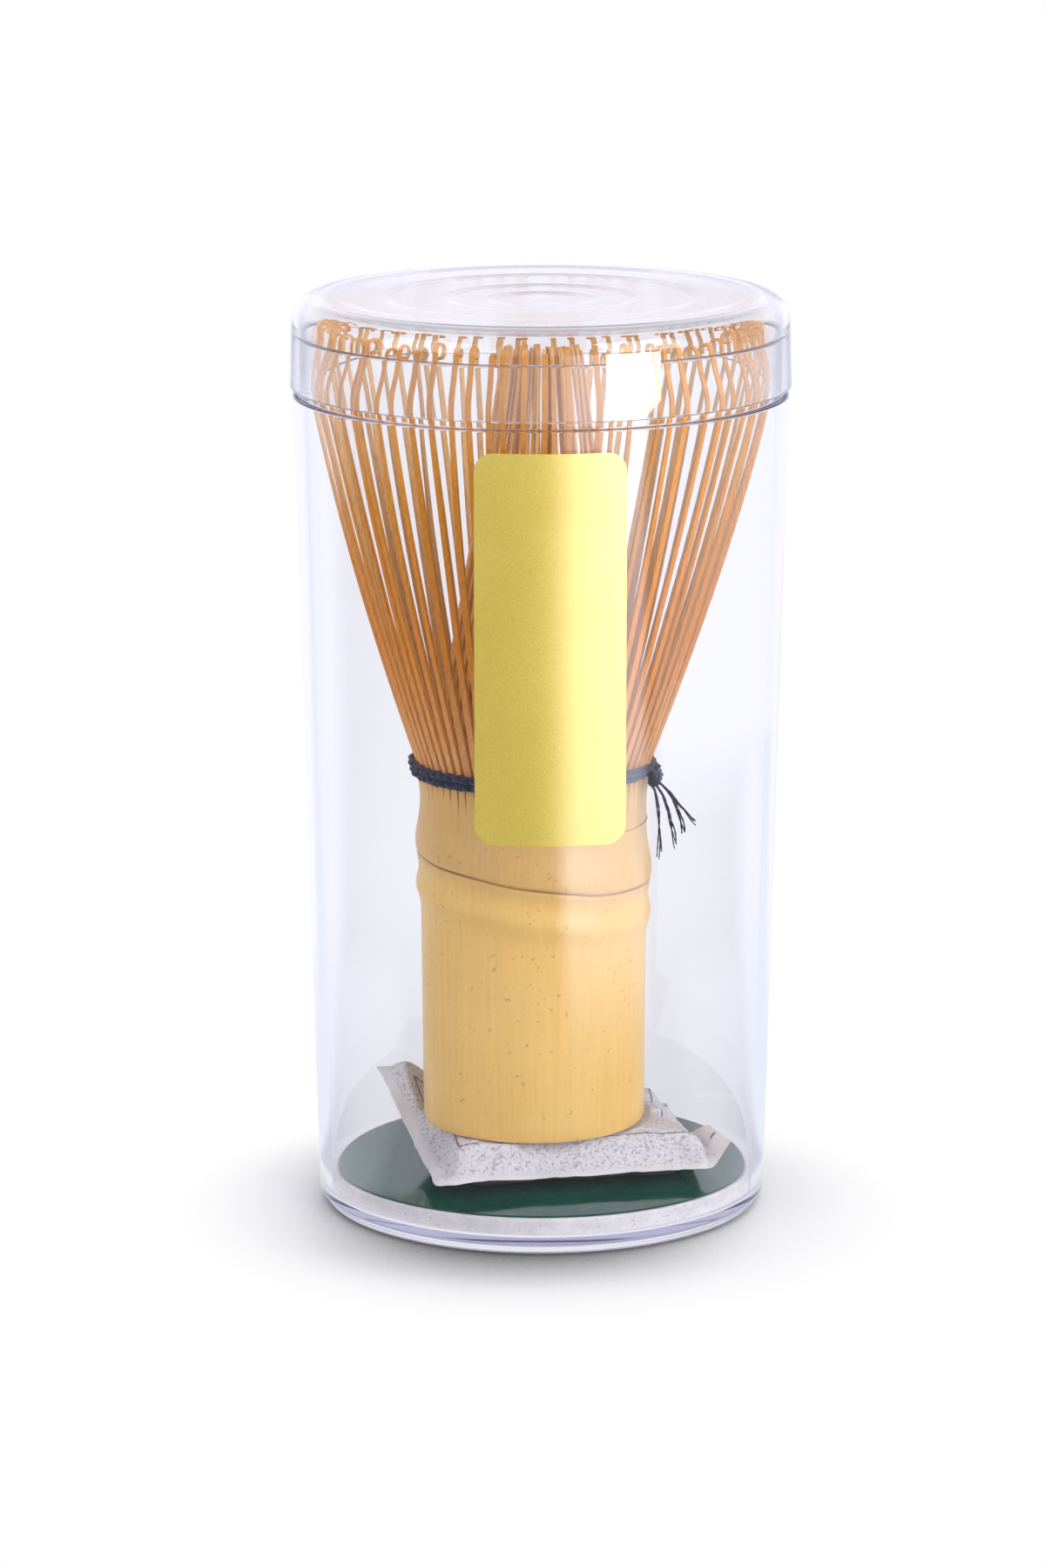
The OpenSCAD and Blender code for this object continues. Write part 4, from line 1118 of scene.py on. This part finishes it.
def on_card(x, y):
    """Places along the length and the width of the sachet, turned and shifted as it lies on the card."""
    cos, sin = np.cos(SACHET_TURN), np.sin(SACHET_TURN)
    return np.stack([x * cos - y * sin + SACHET_SHIFT, x * sin + y * cos], -1)


def laid_sachet():
    """Turn, bend and press the pillow. It is flattened towards its edge, most of all the lower sheet. Its
    back left corner stands up against the wall, its right seam folds up, the handle and the card bound it
    from above and below, and the wall from the side."""
    x, y, z = pillow_points.T
    z = z * (1 - np.where(sheet_side < 0, smooth_step(edge_share, 0.5, 0.8),
                          0.5 * smooth_step(edge_share, 0.78, 0.93)))
    plan = on_card(x * SACHET_L / np.ptp(x), y * SACHET_W / np.ptp(y))
    corner = smooth_step((1 - share_u) * (1 + share_v) / 4, 0.35, 0.95)
    fold = smooth_step(share_u, 0.86, 1.0) * smooth_step(-share_v, -0.1, 0.5)
    plan += corner[:, None] * CORNER_MOVE + FORWARD
    reach = np.linalg.norm(plan, axis=1, keepdims=True)
    plan *= np.minimum(1, (floor_in_r - WALL_GAP) / np.maximum(reach, 1))
    bed = card_top + BED_H + CORNER_LIFT * corner + FOLD_LIFT * fold
    level = bed + z * PLUMP + creases() * (0.35 + 0.65 * fullness(share_u) * fullness(share_v))
    from_handle = np.linalg.norm(plan - (handle_x, 0), axis=1) - HANDLE_R
    ceiling = foot_z - HANDLE_GAP + 1.2 * np.maximum(0, from_handle - 0.4)
    level = np.minimum(level, ceiling - PAPER_GAP * (1 - sheet_side))
    level = np.maximum(level, card_top + CARD_GAP + PAPER_GAP * (1 + sheet_side))
    return np.column_stack([plan, level])


frame_share = np.maximum(np.abs(share_u) / FRAME_U, np.abs(share_v) / FRAME_V)
# The number called under marks the lower sheet, which the finish darkens as painted shade.
sachet = make_piece("paper_sachet", laid_sachet(), pillow_faces, paper, "sachet",
                    ["sachet_top_sheet", "sachet_bottom_sheet"], "sachet_paper", sharp=75, values={
                        "seam": smooth_step(edge_share, 0.9, 0.96),
                        "frame": np.where(sheet_side > 0, frame_share, 0), "under": sheet_side < 0})
finer = sachet.modifiers.new("finer", "SUBSURF")
finer.levels = finer.render_levels = 1

# %% [markdown]
# ## Drying beads
# The fill is silica gel: translucent white beads. They lie out of sight between the two sheets, so each is a
# small ball of few faces, and one array of middles plus one of ball points makes them all.

# %% Silica gel beads
BEAD_R = 0.85
BEAD_SIDES = 8
BEAD_LOOPS = 5
BEAD_PITCH = (1.9, 1.65)
BEAD_OVAL = (12, 10)
BEAD_LAYERS = (((0, 0), 1.3), ((0.9, 0.5), 3.0))


def silica_gel():
    """Milky glass-like beads."""
    material, tree, shader = new_finish("milky_silica_gel", {"Roughness": 0.25, "IOR": 1.46})
    place = add_node(tree, "TexCoord").outputs["Object"]
    cloud = add_node(tree, "TexNoise", {"Vector": place, "Scale": per_mm(2)})
    milk = add_node(tree, "Mix", {0: cloud, 6: linear("#E4E4DC"), 7: linear("#F6F6F2")}, data_type="RGBA")
    wire(tree, shader, {"Base Color": milk})
    return material


def bead_ball():
    """A ball of five loops of eight points, with its two poles closed."""
    polar = np.linspace(0, np.pi, BEAD_LOOPS + 2)[1:-1, None]
    ring = np.arange(BEAD_SIDES)
    angle = ring * 2 * np.pi / BEAD_SIDES
    loops = np.stack(np.broadcast_arrays(
        np.sin(polar) * np.cos(angle), np.sin(polar) * np.sin(angle), -np.cos(polar)), -1).reshape(-1, 3)
    after = (ring + 1) % BEAD_SIDES
    last = len(loops) - BEAD_SIDES
    low = np.stack([0 * ring + len(loops), after, ring], -1)
    high = np.stack([0 * ring + len(loops) + 1, last + ring, last + after], -1)
    points = np.concatenate([loops, [[0, 0, -1], [0, 0, 1]]]) * BEAD_R
    return points, [*grid_quads(BEAD_LOOPS, BEAD_SIDES).tolist(), *low.tolist(), *high.tolist()]


def bead_middles():
    """Two layers of beads on a staggered grid, inside an oval under the handle."""
    i, j = np.meshgrid(np.arange(-7, 8), np.arange(-6, 7))
    spots = (np.stack([i + 0.5 * (j % 2), j], -1) * BEAD_PITCH).reshape(-1, 2)
    spots = spots[np.hypot(*(spots / BEAD_OVAL).T) < 1]
    plan = on_card(*spots.T)
    return np.concatenate([np.column_stack([plan + shift, np.full(len(plan), card_top + level)])
                           for shift, level in BEAD_LAYERS])


ball_points, ball_faces = bead_ball()
bead_points = (bead_middles()[:, None] + ball_points).reshape(-1, 3)
bead_faces = [[k + first for k in face] for first in range(0, len(bead_points), len(ball_points))
              for face in ball_faces]
make_piece("silica_beads", bead_points, bead_faces, silica_gel(), "sachet", ["desiccant_fill"], "silica_gel",
           sharp=80)

# %% [markdown]
# ## Floor, light and sky
# The case stands on a white table in soft light. The sky is white and a little darker overhead, so that the
# top of the lid doesn't burn out. Large lamps right and left of the camera shape the handle, and one behind
# lights the tines from above. Clear plastic shows mostly what it mirrors, so two panels and a flat card that
# only reflections see draw the gloss on the lid and the pale veils on the tube. The floor is lit for real
# near the case, and a painted shadow darkens its colour in front of the case; further out it turns to plain
# white.

# %% White floor
FLOOR_HALF = 6000.0


def white_floor():
    """Pale matt floor with a painted shadow under the case, thrown to the front as by light from behind: its
    colour darkens where ambient occlusion, turned towards the back, finds the case close by, and only the
    camera sees it. Away from the case it fades to plain white, and mirrors and clear plastic show it white
    all over, a little dimmer near the case as painted shade."""
    material, tree, shader = new_finish("white_table", {"Roughness": 0.9, "Specular IOR Level": 0.0})
    path = add_node(tree, "LightPath").outputs
    seen = path["Is Camera Ray"]
    tilt = add_node(tree, "CombineXYZ", {0: 0.12, 1: 0.93, 2: 0.34})
    open_sky = add_node(tree, "AmbientOcclusion", {"Distance": 0.025, "Normal": tilt}, samples=12)
    shade = add_node(tree, "MapRange", {
        "Value": open_sky.outputs["AO"], "From Min": 0.33, "From Max": 0.68})
    indirect = add_node(tree, "Math", {0: 1.0, 1: seen}, operation="SUBTRACT")
    lit = add_node(tree, "Math", {0: shade, 1: indirect}, operation="MAXIMUM")
    # Painted shadow: the floor's colour runs from dark to pale as the tilted occlusion finds the case close
    # by.
    painted_shadow_floor_colour = add_node(tree, "Mix", {0: lit, 6: linear("#404040"), 7: linear("#E8E8E8")}, data_type="RGBA")
    wire(tree, shader, {"Base Color": painted_shadow_floor_colour})
    place = add_node(tree, "TexCoord").outputs["Object"]
    ahead = add_node(tree, "VectorMath", {0: place, 1: (0.0, 0.008, 0.0)}, operation="ADD")
    away = add_node(tree, "VectorMath", {0: ahead}, operation="LENGTH")
    # The second ramp is painted shade: mirrors and clear plastic see the floor a little dimmer near the case.
    far, reach = (add_node(tree, "MapRange", {
        "Value": away, "From Min": start, "From Max": end, "To Min": near_level, "To Max": far_level},
        interpolation_type="SMOOTHSTEP")
        for start, end, near_level, far_level in ((0.031, 0.049, 0.0, 1.0), (0.0, 0.2, 0.9, 1.08)))
    plain = add_node(tree, "Math", {
        0: path["Is Glossy Ray"], 1: path["Is Transmission Ray"]}, operation="MAXIMUM")
    faded = add_node(tree, "Math", {0: far, 1: seen}, operation="MULTIPLY")
    share = add_node(tree, "Math", {0: faded, 1: plain}, operation="MAXIMUM")
    level = add_node(tree, "Mix", {0: seen, 2: reach, 3: 1.0})
    tint = add_node(tree, "Mix", {0: seen, 6: linear("#F8F8FF"), 7: linear("#FFFFFF")}, data_type="RGBA")
    white = add_node(tree, "Emission", {"Color": tint, "Strength": level})
    mix = add_node(tree, "MixShader", {0: share, 1: shader, 2: white})
    wire(tree, tree.nodes["Material Output"], {"Surface": mix})
    return material


def on_stage(name, points, faces, material):
    """A mesh of points in millimetres that is no part of the object."""
    mesh = bpy.data.meshes.new(name)
    mesh.from_pydata((points * MM).tolist(), [], faces)
    mesh.materials.append(material)
    prop = bpy.data.objects.new(name, mesh)
    bpy.context.scene.collection.objects.link(prop)
    print(name, "is on the stage")
    return prop


floor_corners = FLOOR_HALF * np.array([[-1, -1, 0], [1, -1, 0], [1, 1, 0], [-1, 1, 0]])
on_stage("floor", floor_corners, [[0, 1, 2, 3]], white_floor())

# %% Sky
world = bpy.data.worlds.new("white_sky")
world.use_nodes = True
bpy.context.scene.world = world
sky_tree = world.node_tree
sky_way = add_node(sky_tree, "TexCoord").outputs["Generated"]
sky_parts = add_node(sky_tree, "SeparateXYZ", {0: sky_way})
sky_level = add_node(sky_tree, "MapRange", {
    "Value": sky_parts.outputs["Z"], "From Min": 0.3, "From Max": 0.6, "To Min": 1.0, "To Max": 0.6},
    interpolation_type="SMOOTHSTEP")
wire(sky_tree, sky_tree.nodes["Background"], {"Color": linear("#F6F6FE"), "Strength": sky_level})
print("Made", world.name)

# %% Lamps
MIDDLE = (0, 0, 0.06)
LID_HEIGHT = (0, 0, 0.11)
BACK_AIM = (0, 0, 0.1)


def add_lamp(name, spot, aim, size, level, mirror_only=False, colour="#FFFFFF"):
    """A rectangular lamp at a spot, aimed at a point. Level is how bright its face is, where white is one;
    its power is that times pi and its area. A mirror panel shows in reflections and lights nothing."""
    data = bpy.data.lights.new(name, "AREA")
    data.shape = "RECTANGLE"
    data.size, data.size_y = size
    data.energy = level * np.pi * size[0] * size[1]
    data.color = linear(colour)[:3]
    lamp = bpy.data.objects.new(name, data)
    bpy.context.scene.collection.objects.link(lamp)
    lamp.location = spot
    lamp.rotation_euler = (Vector(spot) - Vector(aim)).to_track_quat("Z", "Y").to_euler()
    lamp.visible_camera = False
    lamp.visible_transmission = False
    if mirror_only:
        lamp.visible_diffuse = False
        data.use_shadow = False
    print(name, "gives", round(data.energy, 2), "W")
    return lamp


add_lamp("right_softbox", (0.85, -0.75, 0.6), MIDDLE, (0.8, 0.8), 5.4)
add_lamp("left_softbox", (-0.9, -0.6, 0.5), MIDDLE, (0.8, 0.8), 2.4)
add_lamp("lid_window", (0.67, -0.74, 0.035), LID_HEIGHT, (0.46, 0.06), 12.0, mirror_only=True)
add_lamp("top_softbox", (0.1, 0.5, 1.1), MIDDLE, (0.7, 0.7), 1.5).visible_glossy = False
add_lamp("back_wall", (0, 2.0, 0.45), BACK_AIM, (2.4, 0.7), 0.32, mirror_only=True, colour="#E8E8FF")

# %% Reflection card
CARD_NEAR, CARD_FAR, CARD_RISE = 36, 2500, 0.3
CARD_STEPS = 97
FACES_OF_BOTH_WALLS = 3.5


def mirror_card():
    """A flat ring on the floor that only reflections see, as a dark table top. Each ramp is a smooth change
    with the turn off the way to the camera, or with the reach in metres from the middle of the case. Bright
    parts lie in a sector on the right from 16 to 46 degrees, as a veil beyond it, on both sides close to the
    case, behind it, and far out all round. A ray that has passed both walls of the tube, which is more than
    three faces, sees the floor under it."""
    material, tree, _ = new_finish("mirror_card", {})
    place = add_node(tree, "TexCoord").outputs["Object"]
    parts = add_node(tree, "SeparateXYZ", {0: place}).outputs
    ahead = add_node(tree, "Math", {0: parts[1], 1: -1.0}, operation="MULTIPLY")
    turn = add_node(tree, "Math", {0: parts[0], 1: ahead}, operation="ARCTAN2")
    either = add_node(tree, "Math", {0: turn}, operation="ABSOLUTE")
    reach = add_node(tree, "VectorMath", {0: place}, operation="LENGTH")
    degree = np.pi / 180
    ramps = {
        "right": (turn, 4 * degree, 16 * degree, 0.0, 2.6),
        "right_end": (turn, 46 * degree, 53 * degree, 1.0, 0.0),
        "off_case": (reach, 0.07, 0.2, 0.0, 1.0),
        "near": (reach, 0.16, 0.3, 0.2, 0.03),
        "far_out": (reach, 0.45, 0.56, 0.0, 0.5),
        "veil": (turn, 46 * degree, 58 * degree, 0.0, 1.1),
        "veil_reach": (reach, 0.2, 0.3, 0.0, 1.0),
        "low_sides": (either, 55 * degree, 75 * degree, 0.0, 0.7),
        "low_reach": (reach, 0.12, 0.18, 1.0, 0.0),
        "behind": (either, 95 * degree, 120 * degree, 0.0, 1.0),
    }
    light = {key: add_node(tree, "MapRange", {
        "Value": value, "From Min": low, "From Max": high, "To Min": start, "To Max": end},
        interpolation_type="SMOOTHSTEP") for key, (value, low, high, start, end) in ramps.items()}
    joins = (
        ("right", "right_end", "MULTIPLY"), ("right", "off_case", "MULTIPLY"),
        ("veil", "veil_reach", "MULTIPLY"), ("low_sides", "low_reach", "MULTIPLY"),
        ("near", "far_out", "MAXIMUM"), ("right", "near", "MAXIMUM"), ("behind", "low_sides", "MAXIMUM"),
        ("behind", "veil", "MAXIMUM"), ("right", "behind", "MAXIMUM"),
    )
    for kept, joined, operation in joins:
        light[kept] = add_node(tree, "Math", {0: light[kept], 1: light[joined]}, operation=operation)
    depth = add_node(tree, "LightPath").outputs["Ray Depth"]
    through_case = add_node(tree, "Math", {0: depth, 1: FACES_OF_BOTH_WALLS}, operation="GREATER_THAN")
    glow = add_node(tree, "Emission", {"Color": linear("#EEF2FF"), "Strength": light["right"]})
    clear_way = add_node(tree, "BsdfTransparent")
    shown = add_node(tree, "MixShader", {0: through_case, 1: glow, 2: clear_way})
    wire(tree, tree.nodes["Material Output"], {"Surface": shown})
    material.cycles.emission_sampling = "NONE"
    return material


def floor_ring():
    """Points and faces of an open ring on the floor, from one side of the case round its front to the
    other."""
    angle = np.radians(np.linspace(-145, 148, CARD_STEPS))
    radius = np.array([[CARD_FAR], [CARD_NEAR]])
    points = np.stack(np.broadcast_arrays(radius * np.sin(angle), -radius * np.cos(angle), CARD_RISE), -1)
    return points.reshape(-1, 3), grid_quads(2, CARD_STEPS, False).tolist()


card = on_stage("floor_mirror_card", *floor_ring(), mirror_card())
card.visible_camera = False
card.visible_diffuse = False
card.visible_shadow = False
